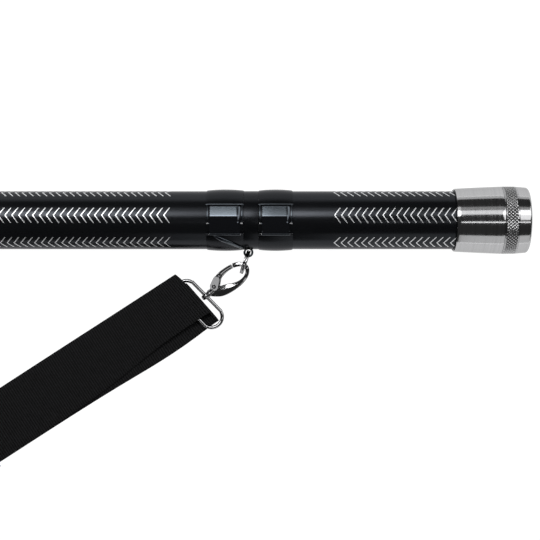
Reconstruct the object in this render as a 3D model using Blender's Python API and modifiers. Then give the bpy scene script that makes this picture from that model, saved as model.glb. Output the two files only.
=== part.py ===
"""Telescopic drawing tube with clamp collars, end lids and a clip-on shoulder strap.

The tube lies along X on the surface z = 0, resting on its two lids. The strap lies beside it,
towards -Y. The origin is the bottom centre of the whole object. The +X half is modelled first,
in the collar frame, and the -X half is its mirror image.
"""
import math

import bmesh
import bpy
from mathutils import Matrix, Vector

MM = 0.001

# Driving dimensions
COLLAR_X = 320 * MM            # centre of a collar from the middle of the tube
TUBE_R = 25.0 * MM             # outer radius of the tube sections
TUBE_BORE_R = 23.5 * MM        # inner radius of the tube sections
GAP = 0.3 * MM                 # clearance between pieces that touch
RING_HALF = 6.2 * MM           # half the length of the collar's centre ring
RING_R = 25.1 * MM
SLEEVE_R = TUBE_BORE_R - GAP
SLEEVE_BORE_R = 22.0 * MM
SLEEVE_INNER = -60 * MM        # how far the sleeve reaches into the middle tube
SLEEVE_OUTER = 150 * MM        # and into the end section
END_TUBE_END = 208 * MM

CLAMP_R_EDGE = 25.75 * MM
CLAMP_R_CROWN = 26.45 * MM
CLAMP_WINDOW = math.radians(31)     # half the angle of the gap that the lever closes
LEVER_ARC = math.radians(25.5)
LEVER_HINGE_ARC = math.radians(27.2)
LEVER_R_IN = 25.35 * MM
LEVER_THICK = 1.7 * MM
PIN_ANGLE = math.radians(28.6)
PIN_CENTRE_R = 26.55 * MM
PIN_R = 0.55 * MM
KNUCKLE_R = 1.2 * MM
LUG_LENGTH = 2.2 * MM
BAIL_R = 0.6 * MM

FERRULE_START = 174.3 * MM
FERRULE_END = 214.5 * MM
FERRULE_R_MOUTH = 27.1 * MM
LID_R = 29.0 * MM
LID_START = FERRULE_END + GAP
LID_END = 237.3 * MM
LID_R_END = 28.2 * MM            # the lid narrows a little past its knurled band
KNURL_END = 225.6 * MM
LID_PLUG_START = 196 * MM

# The eye of the collar and the hardware that hangs on it, in the collar frame:
# x from the collar's centre, y from the tube's axis, z from the surface.
EYE_X, EYE_Y = -2.5 * MM, -27.4 * MM
EYE_HOLE_Y = EYE_Y - GAP
EYE_HOLE_R = 2.8 * MM
EYE_R = 4.9 * MM
EYE_THICK = 3.0 * MM
SPLIT_RING_R = 9.5 * MM
SPLIT_RING_WIRE = 1.4 * MM
SPLIT_RING_REACH = 8.8 * MM    # horizontal distance from the eye to the ring's centre
SPLIT_RING_DIR = Vector((-0.332, -0.943, 0)).normalized()

HOOK_CENTRE = Vector((-19.9, -50.8, 14.1)) * MM
HOOK_HEADING = Vector((-0.805, -0.593, 0)).normalized()
HOOK_DIP = math.radians(22)
HOOK_FLATNESS = 0.62            # the horn's thickness over its width
GATE_PIVOT = (14.6 * MM, -2.3 * MM)
LOOP_CROSSING = 27.2 * MM      # where the hook's swivel passes through the strap loop

LOOP_Z = 3.9 * MM
LOOP_WIRE = 1.6 * MM
LOOP_U = Vector((0.70, -0.714, 0)).normalized()
LOOP_W = Vector((0.714, 0.70, 0)).normalized()
LOOP_SPAN_U = (-5.5 * MM, 44.7 * MM)
LOOP_SPAN_W = (-93.5 * MM, -74.7 * MM)
LOOP_CORNER_U = 9.4 * MM

STRAP_WIDTH = 55 * MM
STRAP_THICK = 1.4 * MM
STRAP_PITCH = STRAP_THICK + GAP
STRAP_FLOOR_Z = 0.9 * MM       # mid-plane of a layer that lies on the surface
STRAP_ANGLE = math.radians(33.0)
STRAP_START = Vector((-46.8, -65.7, 0)) * MM    # middle of the fold round the loop
STRAP_FOLD_R = 3.0 * MM
STRAP_FOLD_SKEW = 0.144
UPPER_SHIFT = 4.8 * MM         # sideways offsets of the two layers where the strap meets a loop
LOWER_SHIFT = -6.3 * MM
UPPER_PINCH = 5.2 * MM         # how much the loop draws in each half of the strap's width
LOWER_PINCH = 5.8 * MM
CREASE_R = STRAP_PITCH / 2
SLIDER_P = 243 * MM            # slider's place along the strap, from the fold
SLIDER_BAR_R = 1.1 * MM
LEFT_TAIL = 95 * MM

AXIS_Z = LID_R
STRAP_LEG = (COLLAR_X + STRAP_START.x) / math.cos(STRAP_ANGLE)
CREASE_Y = STRAP_START.y - STRAP_LEG * math.sin(STRAP_ANGLE) + math.pi * CREASE_R / 2
STRAP_REACH = -CREASE_Y + CREASE_R + STRAP_THICK / 2
AXIS_Y = (STRAP_REACH - LID_R) / 2     # puts the origin at the middle of the object's width

ROUND_STEPS = 32
MODEL = bpy.data.collections.new("drawing_tube")
CUTTERS = bpy.data.collections.new("cutters")


def clear_scene():
    for obj in list(bpy.data.objects):
        bpy.data.objects.remove(obj, do_unlink=True)


def material(name, colour, roughness, metallic):
    """A plain Principled material, made once for each name."""
    found = bpy.data.materials.get(name)
    if found:
        return found
    made = bpy.data.materials.new(name)
    made.use_nodes = True
    shader = made.node_tree.nodes["Principled BSDF"]
    shader.inputs["Base Color"].default_value = (*colour, 1)
    shader.inputs["Roughness"].default_value = roughness
    shader.inputs["Metallic"].default_value = metallic
    return made


FINISHES = {
    "black_anodised": ((0.02, 0.02, 0.022), 0.35, 0.6),
    "black_plastic": ((0.012, 0.012, 0.013), 0.42, 0.0),
    "gloss_black": ((0.008, 0.008, 0.009), 0.08, 0.0),
    "turned_aluminium": ((0.75, 0.75, 0.76), 0.28, 1.0),
    "inner_aluminium": ((0.6, 0.6, 0.61), 0.4, 1.0),
    "steel": ((0.55, 0.55, 0.56), 0.2, 1.0),
    "rubber": ((0.015, 0.015, 0.015), 0.8, 0.0),
    "foam": ((0.05, 0.05, 0.05), 0.95, 0.0),
    "webbing": ((0.012, 0.012, 0.013), 0.85, 0.0),
}


def add_object(name, data, finish=None):
    """A new object in the model, or among the cutters when it has no finish."""
    obj = bpy.data.objects.new(name, data)
    if finish:
        MODEL.objects.link(obj)
        data.materials.append(material(finish, *FINISHES[finish]))
    else:
        CUTTERS.objects.link(obj)
        obj.hide_render = True
        obj.display_type = "WIRE"
    return obj


def collar_point(x, y, z=0.0):
    """Collar frame to world."""
    return Vector((COLLAR_X + x, AXIS_Y + y, z))


def around_tube(x, radius, angle):
    """A point at a radius from the tube's axis; the angle runs from straight up towards +Y."""
    return Vector((COLLAR_X + x, AXIS_Y + radius * math.sin(angle), AXIS_Z + radius * math.cos(angle)))


def bake(obj):
    """Replace an object's modifiers, or its curve, by the mesh they make."""
    bpy.context.view_layer.update()
    graph = bpy.context.evaluated_depsgraph_get()
    mesh = bpy.data.meshes.new_from_object(obj.evaluated_get(graph))
    bm = bmesh.new()
    bm.from_mesh(mesh)
    bmesh.ops.remove_doubles(bm, verts=bm.verts, dist=0.00001)
    bm.to_mesh(mesh)
    bm.free()
    if obj.type == "CURVE":
        fresh = bpy.data.objects.new(obj.name + "_mesh", mesh)
        for collection in obj.users_collection:
            collection.objects.link(fresh)
        fresh.matrix_world = obj.matrix_world
        fresh.hide_render = obj.hide_render
        fresh.display_type = obj.display_type
        name = obj.name
        bpy.data.objects.remove(obj, do_unlink=True)
        fresh.name = name
        return fresh
    obj.modifiers.clear()
    obj.data = mesh
    return obj


def smooth(obj, angle=35):
    obj.data.shade_smooth()
    obj.data.set_sharp_from_angle(angle=math.radians(angle))
    return obj


def put_origin(obj, point):
    """Move a baked object's origin to a world point, leaving its mesh in place."""
    obj.data.transform(Matrix.Translation(-point) @ obj.matrix_world)
    obj.matrix_world = Matrix.Translation(point)
    return obj


def turned(name, profile, finish, centre=(0.0, 0.0), steps=ROUND_STEPS, origin_x=COLLAR_X):
    """A closed profile of (radius, x) points turned about the tube's axis."""
    mesh = bpy.data.meshes.new(name)
    points = [(radius, 0.0, x) for radius, x in profile]
    edges = [(i, (i + 1) % len(points)) for i in range(len(points))]
    mesh.from_pydata(points, edges, [])
    obj = add_object(name, mesh, finish)
    obj.location = (origin_x, AXIS_Y + centre[0], AXIS_Z + centre[1])
    obj.rotation_euler = (0, math.pi / 2, 0)
    screw = obj.modifiers.new("turn", "SCREW")
    screw.axis = "Z"
    screw.angle = math.tau
    screw.steps = screw.render_steps = steps
    screw.use_merge_vertices = True
    screw.merge_threshold = 0.00001
    return smooth(bake(obj))


def ring_profile(inner, outer, start, end):
    """A square section, running down its outer side first."""
    return [(outer, end), (outer, start), (inner, start), (inner, end)]


def rod(name, start, end, radius, finish=None, sides=16, bevel=0.0):
    """A round bar between two world points, with its origin at the middle."""
    start, end = Vector(start), Vector(end)
    mesh = bpy.data.meshes.new(name)
    bm = bmesh.new()
    bmesh.ops.create_cone(bm, cap_ends=True, segments=sides, radius1=radius, radius2=radius,
                          depth=(end - start).length)
    bm.to_mesh(mesh)
    bm.free()
    obj = add_object(name, mesh, finish)
    obj.location = (start + end) / 2
    obj.rotation_euler = (end - start).to_track_quat("Z", "Y").to_euler()
    if bevel:
        edge = obj.modifiers.new("edge", "BEVEL")
        edge.width = bevel
        edge.segments = 2
        edge.limit_method = "ANGLE"
    return smooth(bake(obj))


def wire(name, points, radius, finish=None, cyclic=False, radii=None, resolution=2):
    """A round wire through world points."""
    curve = bpy.data.curves.new(name, "CURVE")
    curve.dimensions = "3D"
    curve.bevel_depth = radius
    curve.bevel_resolution = resolution
    curve.use_fill_caps = True
    spline = curve.splines.new("POLY")
    spline.points.add(len(points) - 1)
    for index, point in enumerate(points):
        spline.points[index].co = (*point, 1)
        spline.points[index].radius = radii[index] / radius if radii else 1.0
    spline.use_cyclic_u = cyclic
    return smooth(bake(add_object(name, curve, finish)), 50)


def boolean(obj, cutter, operation):
    """Join a cutter to an object or cut it away, then drop the cutter's modifier."""
    step = obj.modifiers.new(operation.lower(), "BOOLEAN")
    step.operation = operation
    step.solver = "EXACT"
    step.object = cutter
    return bake(obj)


def arc_plate(name, x_start, x_end, radius, thick, angles, finish, chamfer, steps=8):
    """A curved plate on the tube: an edge turned through an arc, then thickened outwards."""
    mesh = bpy.data.meshes.new(name)
    first = math.pi - angles[0]
    ends = [(radius * math.cos(first), radius * math.sin(first), x) for x in (x_start, x_end)]
    mesh.from_pydata(ends, [(0, 1)], [])
    obj = add_object(name, mesh, finish)
    obj.location = (COLLAR_X, AXIS_Y, AXIS_Z)
    obj.rotation_euler = (0, math.pi / 2, 0)
    screw = obj.modifiers.new("arc", "SCREW")
    screw.angle = angles[0] - angles[1]
    screw.steps = screw.render_steps = steps
    screw.merge_threshold = 0.00001
    shell = obj.modifiers.new("thick", "SOLIDIFY")
    shell.thickness = thick
    shell.offset = 1
    edge = obj.modifiers.new("chamfer", "BEVEL")
    edge.width = chamfer
    edge.segments = 2
    edge.limit_method = "ANGLE"
    edge.angle_limit = math.radians(40)
    return smooth(bake(obj))


# Tube sections and lid

def make_middle_tube():
    half = COLLAR_X - RING_HALF - GAP
    profile = ring_profile(TUBE_BORE_R, TUBE_R, -half, half)
    return turned("middle_tube", profile, "black_anodised", origin_x=0.0)


def make_end_section():
    turned("right_end_tube", ring_profile(TUBE_BORE_R, TUBE_R, RING_HALF + GAP, END_TUBE_END),
           "black_anodised")
    turned("right_coupling_sleeve", ring_profile(SLEEVE_BORE_R, SLEEVE_R, SLEEVE_INNER, SLEEVE_OUTER),
           "inner_aluminium")
    bore = TUBE_R + GAP
    swell = FERRULE_END - FERRULE_START
    flare = [(LID_R, FERRULE_END)]
    for step in range(4, -1, -1):
        along = step / 5
        rise = along ** 0.85
        flare.append((FERRULE_R_MOUTH + (LID_R - FERRULE_R_MOUTH) * rise, FERRULE_START + swell * along))
    turned("right_ferrule", flare + [(bore, FERRULE_START), (bore, FERRULE_END)], "turned_aluminium")
    turned("right_mouth_ring", ring_profile(bore, FERRULE_R_MOUTH - GAP, FERRULE_START - 2 * MM,
                                            FERRULE_START - GAP), "black_plastic")


def make_lid():
    groove_start, groove_end = 200 * MM, 203.2 * MM
    groove_r = 21.2 * MM
    round_r = 2.2 * MM
    plug_r = SLEEVE_R
    profile = [(0.0, LID_END), (LID_R_END - round_r, LID_END)]
    for step in range(1, 5):
        turn = step / 4 * math.pi / 2
        profile.append((LID_R_END - round_r + round_r * math.sin(turn),
                        LID_END - round_r + round_r * math.cos(turn)))
    profile += [(LID_R, KNURL_END), (LID_R, LID_START), (plug_r, LID_START), (plug_r, groove_end),
                (groove_r, groove_end), (groove_r, groove_start), (plug_r, groove_start),
                (plug_r, LID_PLUG_START), (0.0, LID_PLUG_START)]
    lid = bpy.data.meshes.new("right_lid")
    lid.from_pydata([(r, 0.0, x) for r, x in profile], [(i, i + 1) for i in range(len(profile) - 1)], [])
    obj = add_object("right_lid", lid, "turned_aluminium")
    obj.location = (COLLAR_X, AXIS_Y, AXIS_Z)
    obj.rotation_euler = (0, math.pi / 2, 0)
    screw = obj.modifiers.new("turn", "SCREW")
    screw.steps = screw.render_steps = ROUND_STEPS
    screw.use_merge_vertices = True
    screw.merge_threshold = 0.00001
    smooth(bake(obj))

    seal_r = 0.95 * MM
    middle = (groove_start + groove_end) / 2
    centre_r = groove_r + 0.1 * MM + seal_r
    seal = [(centre_r + seal_r * math.cos(-k * math.tau / 8), middle + seal_r * math.sin(-k * math.tau / 8))
            for k in range(8)]
    turned("right_lid_seal", seal, "rubber")
    rod("right_lid_foam_pad", collar_point(190 * MM, 0, AXIS_Z),
        collar_point(LID_PLUG_START - GAP, 0, AXIS_Z), 20 * MM, "foam", sides=24, bevel=1 * MM)


# Collar: centre ring with its eye, two clamps with their levers

def make_collar_ring():
    band = ring_profile(TUBE_BORE_R, RING_R, -RING_HALF, RING_HALF)
    ring = turned("right_collar_ring", band, "black_plastic")
    bottom = AXIS_Z - EYE_THICK / 2
    top = AXIS_Z + EYE_THICK / 2
    eye = rod("eye_blank", collar_point(EYE_X, EYE_Y, bottom), collar_point(EYE_X, EYE_Y, top), EYE_R)
    keep_out = rod("eye_keep_out", collar_point(-2 * RING_HALF, 0, AXIS_Z),
                   collar_point(2 * RING_HALF, 0, AXIS_Z),
                   TUBE_BORE_R + 0.4 * MM, sides=ROUND_STEPS)
    eye = boolean(eye, keep_out, "DIFFERENCE")
    clamp_room = rod("eye_clamp_room", collar_point(-4 * RING_HALF, 0, AXIS_Z),
                     collar_point(-RING_HALF, 0, AXIS_Z),
                     CLAMP_R_CROWN + 0.4 * MM, sides=ROUND_STEPS)
    eye = boolean(eye, clamp_room, "DIFFERENCE")
    ring = boolean(ring, eye, "UNION")
    hole = rod("eye_hole", collar_point(EYE_X, EYE_HOLE_Y, 0), collar_point(EYE_X, EYE_HOLE_Y, 2 * AXIS_Z),
               EYE_HOLE_R)
    smooth(boolean(ring, hole, "DIFFERENCE"))


def clamp_profile(start, end):
    """A domed band: low at both ends and crowned between them."""
    stations = 6
    outer = []
    for step in range(stations + 1):
        along = step / stations
        crown = math.sin(math.pi * along) ** 0.6
        outer.append((CLAMP_R_EDGE + (CLAMP_R_CROWN - CLAMP_R_EDGE) * crown, end + (start - end) * along))
    return outer + [(TUBE_R + GAP, start), (TUBE_R + GAP, end)]


def make_clamp(which, start, end):
    """A clamp band, open at the top, whose gap holds a lever on a pin with its wire bail."""
    band = turned(f"right_{which}_clamp", clamp_profile(start, end), "black_plastic")
    half = TUBE_R * math.sin(CLAMP_WINDOW)
    mesh = bpy.data.meshes.new("window")
    bm = bmesh.new()
    bmesh.ops.create_cube(bm, size=1.0)
    bm.to_mesh(mesh)
    bm.free()
    mesh.transform(Matrix.Diagonal((end - start + 4 * MM, 2 * half, 20 * MM, 1)))
    window = add_object(f"{which}_window", mesh)
    window.location = around_tube((start + end) / 2, TUBE_R + 5 * MM, 0)
    band = boolean(band, window, "DIFFERENCE")

    pin_start = around_tube(start + 0.4 * MM, PIN_CENTRE_R, -PIN_ANGLE)
    pin_end = around_tube(end - 0.4 * MM, PIN_CENTRE_R, -PIN_ANGLE)
    knuckle_start = around_tube(start + LUG_LENGTH + GAP, PIN_CENTRE_R, -PIN_ANGLE)
    knuckle_end = around_tube(end - LUG_LENGTH - GAP, PIN_CENTRE_R, -PIN_ANGLE)
    reach = Vector((GAP, 0, 0))
    relief = rod(f"{which}_relief", knuckle_start - reach, knuckle_end + reach, KNUCKLE_R + GAP + 0.1 * MM)
    band = boolean(band, relief, "DIFFERENCE")
    keep_out = rod(f"{which}_keep_out", around_tube(start - 5 * MM, 0, 0), around_tube(end + 5 * MM, 0, 0),
                   TUBE_R + GAP, sides=ROUND_STEPS)
    for tag, low in (("near", start), ("far", end - LUG_LENGTH)):
        lug_start = around_tube(low, PIN_CENTRE_R, -PIN_ANGLE)
        lug_end = around_tube(low + LUG_LENGTH, PIN_CENTRE_R, -PIN_ANGLE)
        lug = boolean(rod(f"{which}_lug_{tag}", lug_start, lug_end, KNUCKLE_R), keep_out, "DIFFERENCE")
        band = boolean(band, lug, "UNION")
    through = Vector((LUG_LENGTH, 0, 0))
    hole = rod(f"{which}_pin_hole", pin_start - through, pin_end + through, PIN_R + 0.25 * MM, sides=16)
    smooth(boolean(band, hole, "DIFFERENCE"))
    rod(f"right_{which}_lever_pin", pin_start, pin_end, PIN_R, "steel", sides=16)

    pad_start = start + LUG_LENGTH + GAP
    pad_end = end - LUG_LENGTH - GAP
    lever = arc_plate(f"right_{which}_lever", pad_start, pad_end, LEVER_R_IN, LEVER_THICK,
                      (-LEVER_HINGE_ARC, LEVER_ARC), "gloss_black", 0.4 * MM)
    knuckle = rod(f"{which}_knuckle", knuckle_start, knuckle_end, KNUCKLE_R)
    knuckle = boolean(knuckle, keep_out, "DIFFERENCE")
    lever = boolean(lever, knuckle, "UNION")
    lever = smooth(boolean(lever, hole, "DIFFERENCE"))
    hinge = around_tube((start + end) / 2, PIN_CENTRE_R, -PIN_ANGLE)
    put_origin(lever, hinge)

    leg_near, leg_far = start + 1.1 * MM, end - 1.1 * MM
    radius = LEVER_R_IN + 0.9 * MM
    turn_in = GAP + 0.1 * MM
    angles = [math.radians(a) for a in (-8, 0, 8, 16, 24, 28.4)]
    path = [around_tube(pad_start - turn_in, radius, angles[0])]
    path += [around_tube(leg_near, radius, a) for a in angles]
    path += [around_tube(leg_far, radius, a) for a in reversed(angles)]
    path += [around_tube(pad_end + turn_in, radius, angles[0])]
    bail = wire(f"right_{which}_lever_bail", path, BAIL_R, "steel")
    put_origin(bail, hinge)


# Split ring, swivel hook and strap loop

def make_split_ring():
    eye = collar_point(EYE_X, EYE_HOLE_Y, AXIS_Z)
    drop = math.sqrt(SPLIT_RING_R ** 2 - SPLIT_RING_REACH ** 2)
    centre = eye + SPLIT_RING_DIR * SPLIT_RING_REACH - Vector((0, 0, drop))
    points = []
    for step in range(20):
        turn = step / 20 * math.tau
        points.append(centre + SPLIT_RING_DIR * SPLIT_RING_R * math.cos(turn)
                      + Vector((0, 0, SPLIT_RING_R * math.sin(turn))))
    ring = wire("right_split_ring", points, SPLIT_RING_WIRE, "steel", cyclic=True)
    put_origin(ring, eye)


def hook_frame():
    """The hook's own axes in the world: x along it towards the strap, y to its thick side, z up."""
    along = HOOK_HEADING * math.cos(HOOK_DIP) - Vector((0, 0, math.sin(HOOK_DIP)))
    side = Vector((0, 0, 1)).cross(HOOK_HEADING)
    up = along.cross(side)
    frame = Matrix((along, side, up)).transposed().to_4x4()
    frame.translation = collar_point(HOOK_CENTRE.x, HOOK_CENTRE.y, HOOK_CENTRE.z)
    return frame


def make_hook():
    frame = hook_frame()

    def at(a, b, c=0.0):
        return frame @ Vector((a * MM, b * MM, c * MM))

    # the cast horn: stations (a, b, half width) in millimetres, broad at the gate's end
    body_path = [(21.2, 0.6, 3.2), (17.0, 2.6, 4.1), (12.8, 4.4, 4.6), (9.0, 5.6, 4.5), (5.0, 6.6, 4.1),
                 (0.0, 7.8, 3.2), (-6.5, 8.5, 2.3), (-12.7, 7.7, 1.8), (-17.4, 5.4, 1.7), (-20.0, 1.8, 1.8),
                 (-19.5, -1.7, 1.9), (-16.0, -5.2, 2.0), (-10.9, -7.2, 2.0)]
    body = wire("right_hook_body", [at(a, b) for a, b, _ in body_path], 1 * MM, "steel",
                radii=[r * MM for _, _, r in body_path])
    flatten = frame @ Matrix.Diagonal((1, 1, HOOK_FLATNESS, 1)) @ frame.inverted()
    body.data.transform(body.matrix_world.inverted() @ flatten @ body.matrix_world)
    pivot_a, pivot_b = GATE_PIVOT[0] / MM, GATE_PIVOT[1] / MM
    cheek = rod("hook_cheek", at(pivot_a, pivot_b, -2.5), at(pivot_a, pivot_b, 2.5), 3.4 * MM)
    body = boolean(body, cheek, "UNION")
    neck = rod("hook_neck", at(16.0, -0.3), at(23.2, 0), 3.2 * MM)
    body = boolean(body, neck, "UNION")
    slot = rod("gate_slot", at(pivot_a, pivot_b, -1.35), at(pivot_a, pivot_b, 1.35), 4.5 * MM)
    body = boolean(body, slot, "DIFFERENCE")
    pin_hole = rod("gate_pin_hole", at(pivot_a, pivot_b, -6), at(pivot_a, pivot_b, 6), 1.1 * MM, sides=16)
    body = boolean(body, pin_hole, "DIFFERENCE")
    swivel_hole = rod("swivel_hole", at(19.3, 0), at(26.5, 0), 1.65 * MM, sides=16)
    smooth(boolean(body, swivel_hole, "DIFFERENCE"))
    rod("right_gate_pin", at(pivot_a, pivot_b, -2.9), at(pivot_a, pivot_b, 2.9), 0.8 * MM, "steel",
        sides=16)

    gate_path = [(10.7, -3.6, 1.2), (7.4, -5.5, 2.0), (3.1, -7.2, 2.2), (-2.1, -7.9, 2.1),
                 (-6.7, -7.7, 2.0), (-9.2, -7.3, 1.9)]
    gate = wire("right_hook_gate", [at(a, b) for a, b, _ in gate_path], 1 * MM, "steel",
                radii=[r * MM for _, _, r in gate_path])
    eye = rod("gate_eye", at(pivot_a, pivot_b, -1.0), at(pivot_a, pivot_b, 1.0), 2.6 * MM)
    gate = boolean(gate, eye, "UNION")
    arm = wire("gate_arm", [at(pivot_a - 1.8, pivot_b - 0.3), at(10.7, -3.6), at(7.4, -5.5)], 0.95 * MM)
    gate = boolean(gate, arm, "UNION")
    gate = smooth(boolean(gate, pin_hole, "DIFFERENCE"))
    put_origin(gate, at(pivot_a, pivot_b))

    crossing = LOOP_CROSSING / MM
    post = rod("right_swivel_post", at(19.8, 0), at(crossing + 3.4, 0), 1.3 * MM, "steel", sides=16)
    head = rod("post_head", at(crossing + 2.7, 0), at(crossing + 3.9, 0), 2.3 * MM)
    washer = rod("post_washer", at(23.5, 0), at(crossing - 2.75, 0), 2.6 * MM)
    post = boolean(post, head, "UNION")
    smooth(boolean(post, washer, "UNION"))
    make_strap_loop(at(crossing, 0), (at(crossing + 1, 0) - at(crossing, 0)).normalized())


def make_strap_loop(boss, boss_dir):
    """An oblong wire loop, with a bored boss where the hook's swivel post passes through."""
    def at(u, w):
        flat = LOOP_U * u + LOOP_W * w
        return collar_point(flat.x, flat.y, LOOP_Z)

    corner_w = (LOOP_SPAN_W[1] - LOOP_SPAN_W[0]) / 2
    middle_w = (LOOP_SPAN_W[1] + LOOP_SPAN_W[0]) / 2
    points = []
    for end, sign in ((LOOP_SPAN_U[1] - LOOP_CORNER_U, 1), (LOOP_SPAN_U[0] + LOOP_CORNER_U, -1)):
        for step in range(13):
            turn = sign * (math.pi / 2 - step / 12 * math.pi)
            points.append(at(end + sign * LOOP_CORNER_U * math.cos(turn),
                             middle_w + corner_w * math.sin(turn)))
    loop = wire("right_strap_loop", points, LOOP_WIRE, "steel", cyclic=True)
    reach = boss_dir * 2.3 * MM
    loop = boolean(loop, rod("loop_boss", boss - reach, boss + reach, 2.8 * MM), "UNION")
    bore = rod("loop_bore", boss - 3 * reach, boss + 3 * reach, 1.6 * MM, sides=16)
    smooth(boolean(loop, bore, "DIFFERENCE"))


# Strap

def strap_top_z(p):
    """Height of the upper layer's mid-plane on the right leg, at a distance p from the fold."""
    low = STRAP_FLOOR_Z + STRAP_PITCH
    near = max(0.0, 1 - p / (90 * MM))
    hump = max(0.0, 1 - abs(p - SLIDER_P) / (13 * MM))
    rise = 2 * STRAP_FOLD_R - STRAP_PITCH
    over = 2 * (SLIDER_BAR_R + STRAP_THICK / 2 + 0.25 * MM)
    ease = hump * hump * (3 - 2 * hump)
    return low + rise * near * near * (3 - 2 * near) + over * ease


def near_loop(p, reach, power):
    """One at the loop, falling smoothly to nothing along the strap."""
    return 1 / (1 + (abs(p) / reach) ** power)


def upper_spread(p):
    """Sideways offset and half width of the upper layer at a distance p from the loop's fold."""
    near = near_loop(p, 90 * MM, 4)
    return UPPER_SHIFT * near, STRAP_WIDTH / 2 - UPPER_PINCH * near


def lower_spread(p):
    near, close = near_loop(p, 90 * MM, 4), near_loop(p, 30 * MM, 2)
    return LOWER_SHIFT * (0.65 * near + 0.35 * close), STRAP_WIDTH / 2 - LOWER_PINCH * close


def fold_skew(p):
    return STRAP_FOLD_SKEW * max(0.0, 1 - p / (60 * MM))


def strap_path():
    """Stations (p, z, shift, half width, skew) along the flat strap, from its sewn end to its other end."""
    total = 2 * STRAP_LEG
    wrap_r = SLIDER_BAR_R + STRAP_THICK / 2 + 0.15 * MM
    crease_slant = 1 / math.tan(STRAP_ANGLE)
    high = STRAP_FLOOR_Z + STRAP_PITCH
    path = []
    # sewn end, turned round the slider's middle bar
    path.append((SLIDER_P - 7 * MM, STRAP_FLOOR_Z + 2 * wrap_r - 0.4 * MM, *lower_spread(SLIDER_P), 0))
    for step in range(7):
        turn = math.pi / 2 - step / 6 * math.pi
        path.append((SLIDER_P + wrap_r * math.cos(turn), STRAP_FLOOR_Z + wrap_r + wrap_r * math.sin(turn),
                     *lower_spread(SLIDER_P), 0))
    # lower layer back to the loop
    for p in (225, 200, 175, 150, 130, 110, 95, 80, 65, 50, 36, 24, 15, 8):
        path.append((p * MM, STRAP_FLOOR_Z, *lower_spread(p * MM), fold_skew(p * MM)))
    # fold round the loop's bar: the strap stays between the loop's ends until it is over the wire
    low_shift, low_half = lower_spread(0)
    top_shift, top_half = upper_spread(0)
    for step in range(9):
        turn = -math.pi / 2 - step / 8 * math.pi
        share = max(0.0, step - 6) / 2
        path.append((STRAP_FOLD_R * (1 + math.cos(turn)),
                     STRAP_FLOOR_Z + STRAP_FOLD_R * (1 + math.sin(turn)),
                     low_shift + (top_shift - low_shift) * share, low_half + (top_half - low_half) * share,
                     STRAP_FOLD_SKEW))
    # upper layer to the crease
    for p in (7, 13, 20, 30, 42, 56, 72, 90, 110, 130, 160, 200, 226, 230, 233, 236.5, 240, 243, 246,
              249.5, 253, 256, 262):
        path.append((p * MM, strap_top_z(p * MM), *upper_spread(p * MM), fold_skew(p * MM)))
    half = STRAP_WIDTH / 2
    ramp = STRAP_LEG - 54 * MM
    for step in range(1, 5):
        path.append((ramp + step * 12 * MM, high, 0, half, crease_slant * step / 4))
    arc = math.pi * CREASE_R / math.sin(STRAP_ANGLE)
    for step in range(7):
        path.append((STRAP_LEG + arc * (step / 6 - 0.5), high, 0, half, crease_slant))
    for step in range(4, 0, -1):
        path.append((total - ramp - step * 12 * MM, high, 0, half, crease_slant * step / 4))
    path.append((total - ramp, high, 0, half, 0))
    # left leg on the surface, then over the left loop's bar and back on top
    for back in (240, 200, 160, 130, 110, 90, 72, 56, 42, 30, 20, 12, 7):
        shift, half = lower_spread(back * MM)
        path.append((total - back * MM, high, -shift, half, fold_skew(back * MM)))
    end = total - STRAP_FOLD_R
    for step in range(9):
        turn = -math.pi / 2 + step / 8 * math.pi
        path.append((end + STRAP_FOLD_R * math.cos(turn), high + STRAP_FOLD_R * (1 + math.sin(turn)),
                     -low_shift, low_half, STRAP_FOLD_SKEW))
    for back in (7, 12, 20, 30, 42, 60, 75, LEFT_TAIL / MM):
        shift, half = lower_spread(back * MM)
        path.append((total - back * MM, high + strap_top_z(back * MM) - STRAP_FLOOR_Z, -shift, half,
                     fold_skew(back * MM)))
    return path


def fold_at_crease(x, y, z):
    """Turn what lies past the crease back under the strap, round a small half circle."""
    past = CREASE_Y - y
    if past <= 0:
        return Vector((x, y, z))
    if past < math.pi * CREASE_R:
        turn = past / CREASE_R
        return Vector((x, CREASE_Y - CREASE_R * math.sin(turn), z - CREASE_R * (1 - math.cos(turn))))
    return Vector((x, CREASE_Y + past - math.pi * CREASE_R, z - 2 * CREASE_R))


def make_strap():
    along = Vector((-math.cos(STRAP_ANGLE), -math.sin(STRAP_ANGLE), 0))
    across = Vector((-math.sin(STRAP_ANGLE), math.cos(STRAP_ANGLE), 0))
    columns = 4
    mesh = bpy.data.meshes.new("strap_webbing")
    bm = bmesh.new()
    rows = []
    for p, z, shift, half, skew in strap_path():
        row = []
        for column in range(columns + 1):
            side = half * (2 * column / columns - 1)
            flat = STRAP_START + along * (p + skew * side) + across * (side + shift)
            folded = fold_at_crease(flat.x, flat.y, z)
            row.append(bm.verts.new(collar_point(folded.x, folded.y, folded.z)))
        rows.append(row)
    for first, second in zip(rows, rows[1:]):
        for column in range(columns):
            bm.faces.new((first[column], first[column + 1], second[column + 1], second[column]))
    bm.to_mesh(mesh)
    bm.free()
    strap = add_object("strap_webbing", mesh, "webbing")
    shell = strap.modifiers.new("thick", "SOLIDIFY")
    shell.thickness = STRAP_THICK
    shell.offset = 0
    smooth(bake(strap), 60)


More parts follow.
